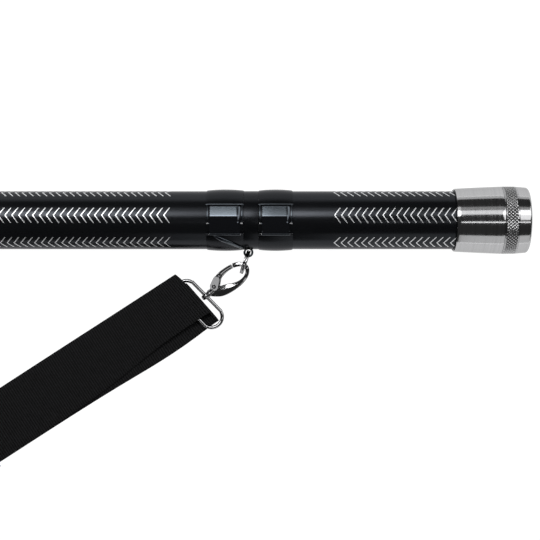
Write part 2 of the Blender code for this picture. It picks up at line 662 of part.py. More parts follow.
def make_slider():
    """A three-bar slider: a frame over the strap and a middle bar in the turned end."""
    along = Vector((-math.cos(STRAP_ANGLE), -math.sin(STRAP_ANGLE), 0))
    across = Vector((-math.sin(STRAP_ANGLE), math.cos(STRAP_ANGLE), 0))
    wrap_r = SLIDER_BAR_R + STRAP_THICK / 2 + 0.15 * MM
    frame_z = STRAP_FLOOR_Z + STRAP_PITCH + STRAP_THICK / 2 + GAP + SLIDER_BAR_R + 0.1 * MM
    bar_z = STRAP_FLOOR_Z + wrap_r
    half_w = STRAP_WIDTH / 2 + 2.2 * MM
    half_l = 17 * MM
    corner = 3 * MM

    def at(p, side, z):
        flat = STRAP_START + along * (SLIDER_P + p) + across * side
        return collar_point(flat.x, flat.y, z)

    points = []
    for sign_p, sign_w, start in ((1, 1, 0), (-1, 1, 90), (-1, -1, 180), (1, -1, 270)):
        for step in range(4):
            turn = math.radians(start + step * 30)
            points.append(at(sign_p * (half_l - corner) + corner * math.cos(turn),
                             sign_w * (half_w - corner) + corner * math.sin(turn), frame_z))
    frame = wire("strap_slider", points, SLIDER_BAR_R + 0.1 * MM, "steel", cyclic=True)
    inset = STRAP_WIDTH / 2 + 0.4 * MM
    bar = wire("slider_bar", [at(0, -half_w, frame_z), at(0, -inset, bar_z), at(0, inset, bar_z),
                              at(0, half_w, frame_z)], SLIDER_BAR_R)
    smooth(boolean(frame, bar, "UNION"), 50)


def mirror_to_left(obj):
    """The left half's copy of a right-half piece."""
    flip = Matrix.Scale(-1, 4, Vector((1, 0, 0)))
    place = obj.matrix_world.copy()
    mesh = obj.data.copy()
    mesh.name = obj.name.replace("right_", "left_", 1)
    location = flip @ place.translation
    mesh.transform(Matrix.Translation(-location) @ flip @ place)
    mesh.flip_normals()
    twin = bpy.data.objects.new(mesh.name, mesh)
    MODEL.objects.link(twin)
    twin.location = location


def build():
    clear_scene()
    bpy.context.scene.collection.children.link(MODEL)
    bpy.context.scene.collection.children.link(CUTTERS)
    make_middle_tube()
    make_end_section()
    make_lid()
    make_collar_ring()
    make_clamp("inner", -37.9 * MM, -RING_HALF - GAP)
    make_clamp("outer", RING_HALF + GAP, 35.4 * MM)
    make_split_ring()
    make_hook()
    make_strap()
    make_slider()
    bpy.context.view_layer.update()
    for obj in [o for o in MODEL.objects if o.name.startswith("right_")]:
        mirror_to_left(obj)


build()
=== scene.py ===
"""Looks of the telescopic drawing tube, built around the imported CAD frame.

The right half is made first, in the collar frame (x from the collar's centre, y from the tube's
axis, z from the surface), and the left half is its mirror image, as on the CAD model.
"""

import math

import bmesh
import bpy
import numpy as np
from mathutils import Matrix, Vector


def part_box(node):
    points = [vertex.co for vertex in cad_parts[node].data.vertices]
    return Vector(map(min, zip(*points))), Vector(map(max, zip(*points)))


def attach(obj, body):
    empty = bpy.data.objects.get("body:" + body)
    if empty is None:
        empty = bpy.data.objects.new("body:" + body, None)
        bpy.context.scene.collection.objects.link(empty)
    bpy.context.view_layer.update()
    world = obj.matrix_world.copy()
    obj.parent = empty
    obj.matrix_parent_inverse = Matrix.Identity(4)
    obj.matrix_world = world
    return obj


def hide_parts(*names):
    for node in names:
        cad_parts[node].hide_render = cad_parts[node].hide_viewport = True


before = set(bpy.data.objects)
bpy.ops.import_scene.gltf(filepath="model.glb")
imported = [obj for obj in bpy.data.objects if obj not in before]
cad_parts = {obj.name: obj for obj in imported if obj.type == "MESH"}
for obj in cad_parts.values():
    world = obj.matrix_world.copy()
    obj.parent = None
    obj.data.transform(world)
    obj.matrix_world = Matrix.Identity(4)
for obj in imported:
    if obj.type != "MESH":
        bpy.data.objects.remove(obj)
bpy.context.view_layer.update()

MM = 0.001

# Places and sizes read from the frame
TUBE_LOW, TUBE_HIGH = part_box("middle_tube")
AXIS_Y = (TUBE_LOW.y + TUBE_HIGH.y) / 2
AXIS_Z = (TUBE_LOW.z + TUBE_HIGH.z) / 2
TUBE_R = (TUBE_HIGH.z - TUBE_LOW.z) / 2
GAP = 0.3 * MM
RING_HALF = 6.2 * MM
COLLAR_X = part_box("right_end_tube")[0].x - RING_HALF - GAP
END_TUBE_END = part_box("right_end_tube")[1].x - COLLAR_X
FERRULE_START, FERRULE_END = (corner.x - COLLAR_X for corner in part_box("right_ferrule"))
LID_PLUG_START, LID_END = (corner.x - COLLAR_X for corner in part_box("right_lid"))
LID_R = (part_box("right_lid")[1].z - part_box("right_lid")[0].z) / 2
LID_R_END = 28.2 * MM

# The CAD model's driving dimensions, but for the eye's place and radii and the clamps' edge radius,
# which are closer to the photograph here
TUBE_BORE_R = 23.5 * MM
RING_R = 25.1 * MM
CLAMPS = {"inner": (-37.9 * MM, -RING_HALF - GAP), "outer": (RING_HALF + GAP, 35.4 * MM)}
CLAMP_R_EDGE = 25.5 * MM
CLAMP_R_CROWN = 26.45 * MM
CLAMP_WINDOW = math.radians(31)
LEVER_ARC = math.radians(25.5)
LEVER_HINGE_ARC = math.radians(27.2)
LEVER_R_IN = 25.35 * MM
LEVER_THICK = 1.7 * MM
PIN_ANGLE = math.radians(28.6)
PIN_CENTRE_R = 26.55 * MM
KNUCKLE_R = 1.2 * MM
LUG_LENGTH = 2.2 * MM
BAIL_R = 0.6 * MM
FERRULE_R_MOUTH = 27.1 * MM
EYE_X, EYE_Y = -2.5 * MM, -27.7 * MM
EYE_HOLE_R = 2.45 * MM
EYE_R = 4.4 * MM
EYE_THICK = 3.0 * MM
SPLIT_RING_R = 9.5 * MM
SPLIT_RING_REACH = 8.8 * MM
SPLIT_RING_DIR = Vector((-0.332, -0.943, 0)).normalized()
HOOK_CENTRE = Vector((-19.9, -50.8, 14.1)) * MM
HOOK_HEADING = Vector((-0.805, -0.593, 0)).normalized()
HOOK_DIP = math.radians(22)
GATE_PIVOT = (14.6, -2.3)
HOOK_FLATNESS = 0.62
LOOP_CROSSING = 27.2
LOOP_Z = 3.9 * MM
LOOP_WIRE = 1.6 * MM
LOOP_U = Vector((0.70, -0.714, 0)).normalized()
LOOP_W = Vector((0.714, 0.70, 0)).normalized()
LOOP_SPAN_U = (-5.5 * MM, 44.7 * MM)
LOOP_SPAN_W = (-93.5 * MM, -74.7 * MM)
LOOP_CORNER_U = 9.4 * MM
STRAP_WIDTH = 55 * MM
STRAP_THICK = 1.4 * MM
STRAP_PITCH = STRAP_THICK + GAP
STRAP_FLOOR_Z = 0.9 * MM
STRAP_ANGLE = math.radians(33.0)
STRAP_ALONG = (-math.cos(STRAP_ANGLE), -math.sin(STRAP_ANGLE), 0)
STRAP_ACROSS = (-math.sin(STRAP_ANGLE), math.cos(STRAP_ANGLE), 0)
STRAP_START = Vector((-46.8, -65.7, 0)) * MM
STRAP_FOLD_R = 3.0 * MM
STRAP_FOLD_SKEW = 0.144
UPPER_SHIFT = 4.8 * MM
LOWER_SHIFT = -6.3 * MM
UPPER_PINCH = 5.2 * MM
LOWER_PINCH = 5.8 * MM
CREASE_R = STRAP_PITCH / 2
SLIDER_P = 243 * MM
SLIDER_BAR_R = 1.1 * MM
SLIDER_WRAP_R = SLIDER_BAR_R + STRAP_THICK / 2 + 0.15 * MM
SLIDER_HALF_LENGTH = 14.5 * MM
LEFT_TAIL = 95 * MM
STRAP_LEG = (COLLAR_X + STRAP_START.x) / math.cos(STRAP_ANGLE)
CREASE_Y = STRAP_START.y - STRAP_LEG * math.sin(STRAP_ANGLE) + math.pi * CREASE_R / 2

# Looks
FINE_STEPS = 160
CHEVRON_ROWS = 6
CHEVRON_ROW_OFFSET = math.radians(7.8)
CHEVRON_HALF_ARC = math.radians(15)
CHEVRON_DEPTH = 4.8 * MM
CHEVRON_PITCH = 5.82 * MM
CHEVRON_LINE = 1.0 * MM
RIB_PITCH = 2.15 * MM
RIB_DEPTH = 0.35 * MM
RIB_SAMPLES = 6

# Setting, in metres and radiance; the camera looks straight down
WORLD_STRENGTH = 0.04
FLOOR_REACH = 40
FLOOR_DROP = 0.2 * MM
CAMERA_OVER = (16.1 * MM, -42.9 * MM)
CAMERA_HEIGHT = 1.172
CAMERA_FOCAL_WIDTHS = 1360 / 540     # focal length in picture widths
LONG_LEFT, LONG_RIGHT, CAP_EDGE = -1.0, 1.5, 0.57
# Long lights over the tube: name, degrees from the zenith towards +Y, half angle in degrees, distance,
# ends in x, radiance
LONG_LIGHTS = (
    ("key_softbox", 23.0, 9.0, 1.3, LONG_LEFT, 0.33, 7.5),
    ("key_middle", 23.0, 9.0, 1.3, 0.33, 0.48, 3.2),
    ("key_extension", 25.0, 7.5, 1.32, 0.48, LONG_RIGHT, 1.4),
    ("key_falloff", 40.0, 7.0, 1.35, LONG_LEFT, 0.48, 1.0),
    ("falloff_extension", 39.5, 5.5, 1.35, 0.48, LONG_RIGHT, 0.4),
    ("fill_strip", -9.0, 1.4, 1.5, 0.5, LONG_RIGHT, 3.0),
    ("side_bank", -74.0, 17.0, 1.5, COLLAR_X, CAP_EDGE, 0.6),
    ("side_extension", -74.0, 17.0, 1.5, CAP_EDGE, LONG_RIGHT, 0.85),
    ("far_bank", 90.0, 12.0, 1.5, LONG_LEFT, LONG_RIGHT, 0.75),
)

PIECES = []          # (object, body) of every piece made here


# Materials

def into_scene(obj):
    bpy.context.scene.collection.objects.link(obj)
    return obj


def grid_faces(rows, columns, round_rows=False):
    """Quads over rows of vertices; each row is a closed ring, and the rows may close too."""
    faces = []
    for i in range(rows if round_rows else rows - 1):
        here, there = i * columns, ((i + 1) % rows) * columns
        for j in range(columns):
            k = (j + 1) % columns
            faces.append((here + j, here + k, there + k, there + j))
    return faces


def end_caps(rows, columns):
    return [tuple(range(columns)), tuple(range((rows - 1) * columns, rows * columns))]


def principled(name, colour, roughness, metallic=0.0, **extra):
    """A new material with its Principled node set; returns the material, its tree and the shader."""
    made = bpy.data.materials.new(name)
    made.use_nodes = True
    tree = made.node_tree
    shader = tree.nodes["Principled BSDF"]
    shader.inputs["Base Color"].default_value = (*colour, 1)
    shader.inputs["Roughness"].default_value = roughness
    shader.inputs["Metallic"].default_value = metallic
    for socket, value in extra.items():
        shader.inputs[socket.replace("_", " ")].default_value = value
    return made, tree, shader


def node(tree, kind, inputs=None, **settings):
    """A node with its settings; an input takes a value or another node's output."""
    made = tree.nodes.new(kind)
    for key, value in settings.items():
        setattr(made, key, value)
    for key, value in (inputs or {}).items():
        if isinstance(value, bpy.types.NodeSocket):
            tree.links.new(value, made.inputs[key])
        else:
            made.inputs[key].default_value = value
    return made


def coordinates(tree, scale):
    """Object coordinates, scaled along each axis."""
    place = node(tree, "ShaderNodeTexCoord").outputs["Object"]
    return node(tree, "ShaderNodeMapping", {"Scale": scale, "Vector": place}).outputs["Vector"]


def noise(tree, scale, vector, detail=3.0, roughness=0.55):
    return node(tree, "ShaderNodeTexNoise", {"Scale": scale, "Detail": detail, "Roughness": roughness,
                                             "Vector": vector}).outputs["Fac"]


def spread(tree, value, low, high, start=0.3, end=0.7):
    """Map a 0 to 1 pattern on to a range."""
    ranges = {"From Min": start, "From Max": end, "To Min": low, "To Max": high}
    return node(tree, "ShaderNodeMapRange", {**ranges, "Value": value}).outputs["Result"]


def tint(tree, value, dark, light):
    """A colour that varies between two with a pattern."""
    return node(tree, "ShaderNodeMix", {6: (*dark, 1), 7: (*light, 1), "Factor": value},
                data_type="RGBA").outputs[2]


def bump(tree, shader, height, strength, distance):
    made = node(tree, "ShaderNodeBump", {"Strength": strength, "Distance": distance, "Height": height})
    tree.links.new(made.outputs["Normal"], shader.inputs["Normal"])


def grained(name, colour, lighter, roughness, metallic, grain, depth, stretch=(1, 1, 1), **extra):
    """A finish with a fine grain in its bump and broad, faint variation in colour and roughness."""
    made, tree, shader = principled(name, colour, roughness, metallic, **extra)
    broad = noise(tree, 45.0, coordinates(tree, (0.4, 1, 1)))
    fine = noise(tree, grain, coordinates(tree, stretch), detail=2.0)
    tree.links.new(tint(tree, broad, colour, lighter), shader.inputs["Base Color"])
    tree.links.new(spread(tree, broad, roughness * 0.9, roughness * 1.12), shader.inputs["Roughness"])
    bump(tree, shader, fine, 0.35, depth)
    return made


def turned_metal(name, colour, lighter, roughness, edge=0.72):
    """Aluminium turned on a lathe: fine rings round the tube's axis, along it and on the end faces."""
    made, tree, shader = principled(name, colour, roughness, 1.0, Specular_Tint=(edge, edge, edge, 1))
    place = node(tree, "ShaderNodeTexCoord").outputs["Object"]
    split = node(tree, "ShaderNodeSeparateXYZ", {"Vector": place})
    from_axis = [node(tree, "ShaderNodeMath", {0: split.outputs[axis], 1: middle},
                      operation="SUBTRACT").outputs[0]
                 for axis, middle in (("Y", AXIS_Y), ("Z", AXIS_Z))]
    radius = node(tree, "ShaderNodeCombineXYZ", {"X": from_axis[0], "Y": from_axis[1]})
    length = node(tree, "ShaderNodeVectorMath", {0: radius.outputs["Vector"]}, operation="LENGTH")
    total = node(tree, "ShaderNodeMath", {0: split.outputs["X"], 1: length.outputs["Value"]}, operation="ADD")
    line, broad = (node(tree, "ShaderNodeTexNoise", {**settings, "W": total.outputs[0]},
                        noise_dimensions="1D").outputs["Fac"]
                   for settings in ({"Scale": 2600.0, "Detail": 3.0, "Roughness": 0.6},
                                    {"Scale": 420.0, "Detail": 2.0}))
    tree.links.new(tint(tree, broad, colour, lighter), shader.inputs["Base Color"])
    tree.links.new(spread(tree, broad, roughness * 0.85, roughness * 1.2), shader.inputs["Roughness"])
    bump(tree, shader, line, 0.5, 0.00001)
    return made


def woven(name, colour, lighter):
    """Webbing yarn: fine threads over the modelled ribs, with a faint sheen."""
    made, tree, shader = principled(name, colour, 0.8, 0.0, Sheen_Weight=0.03, Sheen_Roughness=0.5,
                                    Specular_IOR_Level=0.1)
    threads = node(tree, "ShaderNodeTexVoronoi", {"Scale": 1900.0})
    tree.links.new(coordinates(tree, (1, 1, 1)), threads.inputs["Vector"])
    broad = noise(tree, 260.0, coordinates(tree, (1, 1, 1)))
    tree.links.new(tint(tree, broad, colour, lighter), shader.inputs["Base Color"])
    bump(tree, shader, threads.outputs["Distance"], 0.6, 0.00012)
    return made


MATERIALS = {
    "tube": grained("black_anodised", (0.018, 0.0198, 0.023), (0.0215, 0.0232, 0.0265), 0.21, 0.8, 2600.0,
                    0.000008, stretch=(0.25, 1, 1), Specular_Tint=(0.62, 0.62, 0.63, 1)),
    "print": grained("silver_print", (0.58, 0.59, 0.6), (0.7, 0.71, 0.72), 0.34, 0.7, 1800.0, 0.00001),
    "moulded": grained("moulded_black", (0.0135, 0.0148, 0.0172), (0.0157, 0.0172, 0.0198), 0.24, 0.8, 2200.0,
                       0.000012, Specular_Tint=(0.62, 0.62, 0.63, 1)),
    "gloss": grained("gloss_black", (0.003, 0.003, 0.004), (0.004, 0.004, 0.005), 0.07, 0.0, 300.0,
                     0.000004, Specular_IOR_Level=1.0, Specular_Tint=(0.76, 0.88, 1, 1)),
    "metal": turned_metal("turned_aluminium", (0.39, 0.39, 0.397), (0.46, 0.46, 0.467), 0.12),
    "sleeve": turned_metal("sleeve_aluminium", (0.5, 0.5, 0.505), (0.56, 0.56, 0.565), 0.34),
    "steel": grained("polished_steel", (0.32, 0.32, 0.325), (0.39, 0.39, 0.395), 0.11, 1.0, 700.0, 0.000006,
                     Specular_Tint=(0.05, 0.05, 0.05, 1)),
    "rubber": grained("seal_rubber", (0.012, 0.012, 0.012), (0.018, 0.018, 0.018), 0.75, 0.0, 1500.0,
                      0.00003),
    "foam": grained("pad_foam", (0.03, 0.03, 0.031), (0.05, 0.05, 0.051), 0.95, 0.0, 900.0, 0.0002),
    "webbing": woven("webbing_rib", (0.007, 0.007, 0.0075), (0.014, 0.014, 0.015)),
    # painted shade: a near-black webbing finish for the faces in the grooves between the ribs
    "rib_groove_shade": woven("webbing_groove_shade", (0.0006, 0.0006, 0.0006), (0.001, 0.001, 0.001)),
    # painted shade: a dark metal for the knurl's sunk faces, standing in for the shade in its grooves
    "knurl_groove_shade": turned_metal("knurl_groove_shade", (0.04, 0.04, 0.04), (0.06, 0.06, 0.06), 0.4),
}


# Mesh tools

def add_piece(name, verts, faces, finish, sharp=35):
    """A mesh object at the world's origin, with its finish."""
    mesh = bpy.data.meshes.new(name)
    mesh.from_pydata([tuple(v) for v in verts], [], [tuple(int(i) for i in f) for f in faces])
    return dress(into_scene(bpy.data.objects.new(name, mesh)), finish, sharp)


def dress(obj, finish, sharp=35):
    """Face the surface outwards, shade it and give it its finish."""
    bm = bmesh.new()
    bm.from_mesh(obj.data)
    bmesh.ops.recalc_face_normals(bm, faces=bm.faces)
    bm.to_mesh(obj.data)
    bm.free()
    obj.data.shade_smooth()
    obj.data.set_sharp_from_angle(angle=math.radians(sharp))
    obj.data.materials.clear()
    obj.data.materials.append(MATERIALS[finish])
    obj["finish"] = finish
    return obj


def paint(obj, chosen, finish):
    """Give the chosen faces a second material; both uses here are darker, painted shade in grooves."""
    obj.data.materials.append(MATERIALS[finish])
    obj.data.polygons.foreach_set("material_index", chosen.astype(np.int32))


def keep(obj, body, *nodes):
    """Hand a finished piece to its body, in place of its CAD nodes."""
    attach(obj, body)
    if nodes:
        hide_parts(*nodes)
    PIECES.append((obj, body, nodes))
    return obj


def collar_point(x, y, z=0.0):
    return Vector((COLLAR_X + x, AXIS_Y + y, z))


def around_tube(x, radius, angle):
    """A point at a radius from the tube's axis; the angle runs from straight up towards +Y."""
    return Vector((COLLAR_X + x, AXIS_Y + radius * math.sin(angle), AXIS_Z + radius * math.cos(angle)))


def filleted(points, size, parts=3):
    """A closed outline with every corner rounded."""
    out = []
    count = len(points)
    for i, here in enumerate(points):
        here = Vector(here)
        back = (Vector(points[i - 1]) - here)
        ahead = (Vector(points[(i + 1) % count]) - here)
        reach = min(size, back.length * 0.45, ahead.length * 0.45)
        first = here + back.normalized() * reach
        last = here + ahead.normalized() * reach
        for step in range(parts + 1):
            t = step / parts
            out.append((1 - t) ** 2 * first + 2 * t * (1 - t) * here + t * t * last)
    return [tuple(p) for p in out]


def about_axis(xs, radius, turns):
    """World points at x stations from the collar and radii from the axis, one row for each turn."""
    return np.stack(np.broadcast_arrays(xs, AXIS_Y + radius * np.sin(turns)[:, None],
                                        AXIS_Z + radius * np.cos(turns)[:, None]), -1)


def lathe_mesh(profile, steps=FINE_STEPS, closed=True, origin_x=COLLAR_X):
    """Vertices and faces of an (x, radius) profile turned about the tube's axis."""
    profile = np.array(profile, float)
    turns = np.linspace(0, math.tau, steps, endpoint=False)
    count = len(profile)
    verts = about_axis(profile[:, 0] + origin_x, profile[:, 1], turns).reshape(-1, 3)
    faces = grid_faces(steps, count, True)
    if not closed:
        faces = [face for i, face in enumerate(faces) if (i + 1) % count]
    return verts, faces


def lathe(name, profile, finish, steps=FINE_STEPS, closed=True, origin_x=COLLAR_X, sharp=35):
    verts, faces = lathe_mesh(profile, steps, closed, origin_x)
    obj = add_piece(name, verts, faces, finish, sharp)
    if not closed:
        bm = bmesh.new()
        bm.from_mesh(obj.data)
        bmesh.ops.remove_doubles(bm, verts=bm.verts, dist=1e-7)
        bmesh.ops.recalc_face_normals(bm, faces=bm.faces)
        bm.to_mesh(obj.data)
        bm.free()
        obj.data.set_sharp_from_angle(angle=math.radians(sharp))
    return obj


def ring_outline(inner, outer, start, end):
    return [(start, inner), (start, outer), (end, outer), (end, inner)]


def lathed_ring(name, inner, outer, start, end, fillet, finish, **options):
    return lathe(name, filleted(ring_outline(inner, outer, start, end), fillet), finish, **options)


def smooth_path(points, samples, cyclic=False):
    """Points evenly spread along a Catmull-Rom curve through the given ones (rows of numbers)."""
    pts = np.array(points, float)
    count = len(pts)
    spans = count if cyclic else count - 1
    fine = []
    for i in range(spans):
        near = [(i + k) % count if cyclic else min(max(i + k, 0), count - 1) for k in (-1, 0, 1, 2)]
        p0, p1, p2, p3 = pts[near]
        for step in range(16):
            t = step / 16
            fine.append(0.5 * (2 * p1 + (p2 - p0) * t + (2 * p0 - 5 * p1 + 4 * p2 - p3) * t * t
                               + (3 * p1 - p0 - 3 * p2 + p3) * t ** 3))
    fine.append(pts[0] if cyclic else pts[-1])
    fine = np.array(fine)
    run = np.concatenate([[0], np.cumsum(np.linalg.norm(np.diff(fine[:, :3], axis=0), axis=1))])
    where = np.linspace(0, run[-1], samples + (1 if cyclic else 0))
    out = np.stack([np.interp(where, run, fine[:, c]) for c in range(fine.shape[1])], 1)
    return out[:-1] if cyclic else out


def sweep_mesh(centres, widths, heights, up, sides=20, cyclic=False, power=2.0, section=None):
    """A rounded section, or a given one, carried along a path; up is its height's direction."""
    centres = np.array(centres, float)
    count = len(centres)
    if cyclic:
        ahead = np.roll(centres, -1, 0) - np.roll(centres, 1, 0)
    else:
        ahead = np.gradient(centres, axis=0)
    ahead /= np.linalg.norm(ahead, axis=1)[:, None]
    up = np.broadcast_to(np.array(up, float), centres.shape)
    side = np.cross(ahead, up)
    side /= np.linalg.norm(side, axis=1)[:, None]
    lift = np.cross(side, ahead)
    turns = np.linspace(0, math.tau, sides, endpoint=False)
    cos, sin = np.cos(turns), np.sin(turns)
    ring_x = np.sign(cos) * np.abs(cos) ** (2 / power)
    ring_y = np.sign(sin) * np.abs(sin) ** (2 / power)
    if section:
        ring_x, ring_y = np.array(section, float).T
        sides = len(section)
    widths = np.broadcast_to(np.array(widths, float), (count,))
    heights = np.broadcast_to(np.array(heights, float), (count,))
    verts = (centres[:, None] + side[:, None] * (widths[:, None] * ring_x)[..., None]
             + lift[:, None] * (heights[:, None] * ring_y)[..., None]).reshape(-1, 3)
    return verts, grid_faces(count, sides, cyclic) + ([] if cyclic else end_caps(count, sides))


def wire(name, points, radius, finish, samples=90, cyclic=False, up=(0, 0, 1), sides=16):
    path = smooth_path(points, samples, cyclic)
    verts, faces = sweep_mesh(path, radius, radius, up, sides, cyclic)
    return add_piece(name, verts, faces, finish, 50)


def spindle(name, start, end, outline, finish, steps=40):
    """A turned solid between two points: outline is (share of the way, radius) from end to end."""
    start, end = Vector(start), Vector(end)
    axis = (end - start)
    turn = axis.to_track_quat("Z", "Y").to_matrix()
    rows = [(share * axis.length, radius) for share, radius in outline]
    verts = []
    for along, radius in rows:
        for i in range(steps):
            a = i / steps * math.tau
            verts.append(start + turn @ Vector((radius * math.cos(a), radius * math.sin(a), along)))
    return add_piece(name, verts, grid_faces(len(rows), steps) + end_caps(len(rows), steps), finish)


def rounded_rod(name, start, end, radius, finish, edge=0.3 * MM, steps=40):
    length = (Vector(end) - Vector(start)).length
    cut = edge / length
    outline = [(0, radius - edge), (cut * 0.3, radius - edge * 0.3), (cut, radius), (1 - cut, radius),
               (1 - cut * 0.3, radius - edge * 0.3), (1, radius - edge)]
    return spindle(name, start, end, outline, finish, steps)


def boolean(obj, cutter, operation, finish):
    step = obj.modifiers.new(operation.lower(), "BOOLEAN")
    step.operation = operation
    step.solver = "EXACT"
    step.object = cutter
    bpy.context.view_layer.update()
    mesh = bpy.data.meshes.new_from_object(obj.evaluated_get(bpy.context.evaluated_depsgraph_get()))
    obj.modifiers.clear()
    obj.data = mesh
    bpy.data.objects.remove(cutter, do_unlink=True)
    return dress(obj, finish)


def join(name, objects, finish, sharp=40):
    """One piece from several closed shells."""
    bm = bmesh.new()
    for obj in objects:
        bm.from_mesh(obj.data)
        bpy.data.objects.remove(obj, do_unlink=True)
    mesh = bpy.data.meshes.new(name)
    bm.to_mesh(mesh)
    bm.free()
    return dress(into_scene(bpy.data.objects.new(name, mesh)), finish, sharp)


# Tube sections, chevrons, ferrule and lid

def make_tubes():
    half = COLLAR_X - RING_HALF - GAP
    keep(lathed_ring("middle_section", TUBE_BORE_R, TUBE_R, -half, half, 0.4 * MM, "tube", origin_x=0.0),
         "root", "middle_tube")
    keep(lathed_ring("right_end_section", TUBE_BORE_R, TUBE_R, RING_HALF + GAP, END_TUBE_END, 0.4 * MM,
                     "tube"), "right_section", "right_end_tube")
    keep(lathed_ring("right_inner_sleeve", 22 * MM, 23.2 * MM, -60 * MM, 150 * MM, 0.3 * MM, "sleeve"),
         "root", "right_coupling_sleeve")


def chevrons(name, tips):
    """Printed chevrons in rows round the tube, as a film a few hundredths of a millimetre thick."""
    verts, faces = [], []
    steps = 5
    low, high = TUBE_R - 0.05 * MM, TUBE_R + 0.045 * MM
    for tip in tips:
        for row in range(CHEVRON_ROWS):
            middle = CHEVRON_ROW_OFFSET + row * math.tau / CHEVRON_ROWS
            first = len(verts)
            for step in range(-steps, steps + 1):
                share = step / steps
                angle = middle + CHEVRON_HALF_ARC * share
                x = tip + CHEVRON_DEPTH * abs(share)
                for along, radius in ((0, low), (0, high), (CHEVRON_LINE, high), (CHEVRON_LINE, low)):
                    verts.append((x + along, AXIS_Y + radius * math.sin(angle),
                                  AXIS_Z + radius * math.cos(angle)))
            rings = 2 * steps + 1
            faces += [tuple(first + v for v in face) for face in grid_faces(rings, 4) + end_caps(rings, 4)]
    return add_piece(name, verts, faces, "print")


def make_chevrons():
    last = COLLAR_X - 74.1 * MM
    count = int(2 * last / CHEVRON_PITCH)
    keep(chevrons("middle_chevrons", [last - i * CHEVRON_PITCH for i in range(count)]), "root")
    first = 70.2 * MM
    count = int((FERRULE_START - 2 * MM - first) / CHEVRON_PITCH) + 1
    for side, sign in (("right", 1), ("left", -1)):
        tips = [first + i * CHEVRON_PITCH for i in range(count)]
        places = [COLLAR_X + t for t in tips] if sign > 0 else [-COLLAR_X - t - CHEVRON_DEPTH for t in tips]
        keep(chevrons(f"{side}_chevrons", places), f"{side}_section")


def make_ferrule():
    bore = TUBE_R + GAP
    swell = FERRULE_END - FERRULE_START
    outline = [(FERRULE_END, bore), (FERRULE_START, bore)]
    for step in range(13):
        along = step / 12
        swollen = FERRULE_R_MOUTH + (LID_R - FERRULE_R_MOUTH) * along ** 0.85
        outline.append((FERRULE_START + swell * along, swollen))
    keep(lathe("right_ferrule_turned", filleted(outline, 0.3 * MM, 2), "metal", sharp=50), "right_section",
         "right_ferrule")
    keep(lathed_ring("right_mouth_band", bore, FERRULE_R_MOUTH - 0.9 * MM, FERRULE_START - 0.8 * MM,
                     FERRULE_START - GAP, 0.3 * MM, "moulded"), "right_section", "right_mouth_ring")


def make_lid():
    start = FERRULE_END + GAP
    band_start, band_end = start + 0.9 * MM, start + 10.6 * MM
    round_r = 2.2 * MM
    outline = [(LID_PLUG_START, 0.0), (LID_PLUG_START, 22.8 * MM), (LID_PLUG_START + 0.4 * MM, 23.2 * MM),
               (200 * MM, 23.2 * MM), (200 * MM, 21.2 * MM), (203.2 * MM, 21.2 * MM), (203.2 * MM, 23.2 * MM),
               (start, 23.2 * MM), (start, LID_R - 0.3 * MM), (start + 0.3 * MM, LID_R - 0.05 * MM),
               (band_start - 0.25 * MM, LID_R - 0.05 * MM), (band_start, LID_R - 0.55 * MM),
               (band_end, LID_R - 0.55 * MM), (band_end + 0.25 * MM, LID_R - 0.05 * MM),
               (band_end + 0.9 * MM, LID_R - 0.08 * MM), (band_end + 1.05 * MM, LID_R - 0.3 * MM),
               (band_end + 1.25 * MM, LID_R - 0.3 * MM), (band_end + 1.4 * MM, LID_R - 0.11 * MM)]
    for step in range(9):
        turn = step / 8 * math.pi / 2
        outline.append((LID_END - round_r + round_r * math.sin(turn),
                        LID_R_END - round_r + round_r * math.cos(turn)))
    outline += [(LID_END, 18 * MM), (LID_END, 0.0)]
    cap = lathe("lid_turned", outline, "metal", closed=False, sharp=30)

    # diamond knurl: a fine grid whose radius follows two crossing sets of grooves
    around, along = 960, 41
    teeth = 60
    turns = np.linspace(0, math.tau, around, endpoint=False)
    xs = np.linspace(band_start + 0.05 * MM, band_end - 0.05 * MM, along)
    columns = 3
    share = (xs - xs[0]) / (xs[-1] - xs[0]) * columns
    waves = [np.abs(((turns[:, None] * teeth / math.tau + lean * share[None, :]) % 1) - 0.5) * 2
             for lean in (1, -1)]
    edge = np.clip(np.minimum(share, columns - share) * 5, 0, 1)
    height = np.maximum(np.clip(np.minimum(*waves) * 2.2, 0, 1), 1 - edge[None, :])
    radius = LID_R - 0.4 * MM + 0.35 * MM * height
    outer = about_axis(xs + COLLAR_X, radius, turns)
    inner = about_axis(xs[[0, -1]] + COLLAR_X, LID_R - 1.2 * MM, turns)
    rows = np.concatenate([inner[:, :1], outer, inner[:, 1:]], 1)
    count = along + 2
    knurl = add_piece("right_lid_knurl", rows.reshape(-1, 3), grid_faces(around, count, True), "metal", 25)
    # the knurl's low faces get a dark metal: painted shade in its grooves, on top of the knurl's real depth
    painted_shade_faces = np.zeros((around, count), bool)
    painted_shade_faces[:, 1:-2] = height[:, :-1] < 0.6
    paint(knurl, painted_shade_faces.ravel(), "knurl_groove_shade")
    keep(knurl, "right_lid_assembly")
    cap.name = cap.data.name = "right_lid_turned"
    keep(cap, "right_lid_assembly", "right_lid")
    seal_r, seal_centre = 0.95 * MM, 22.25 * MM
    turns = [k * math.tau / 16 for k in range(16)]
    seal = [(201.6 * MM + seal_r * math.cos(a), seal_centre + seal_r * math.sin(a)) for a in turns]
    keep(lathe("right_seal_ring", seal, "rubber", sharp=60), "right_lid_assembly", "right_lid_seal")
    pad = rounded_rod("right_foam_disc", collar_point(190 * MM, 0, AXIS_Z),
                      collar_point(LID_PLUG_START - GAP, 0, AXIS_Z), 20 * MM, "foam", 1.2 * MM, 96)
    keep(pad, "right_lid_assembly", "right_lid_foam_pad")


# Collar

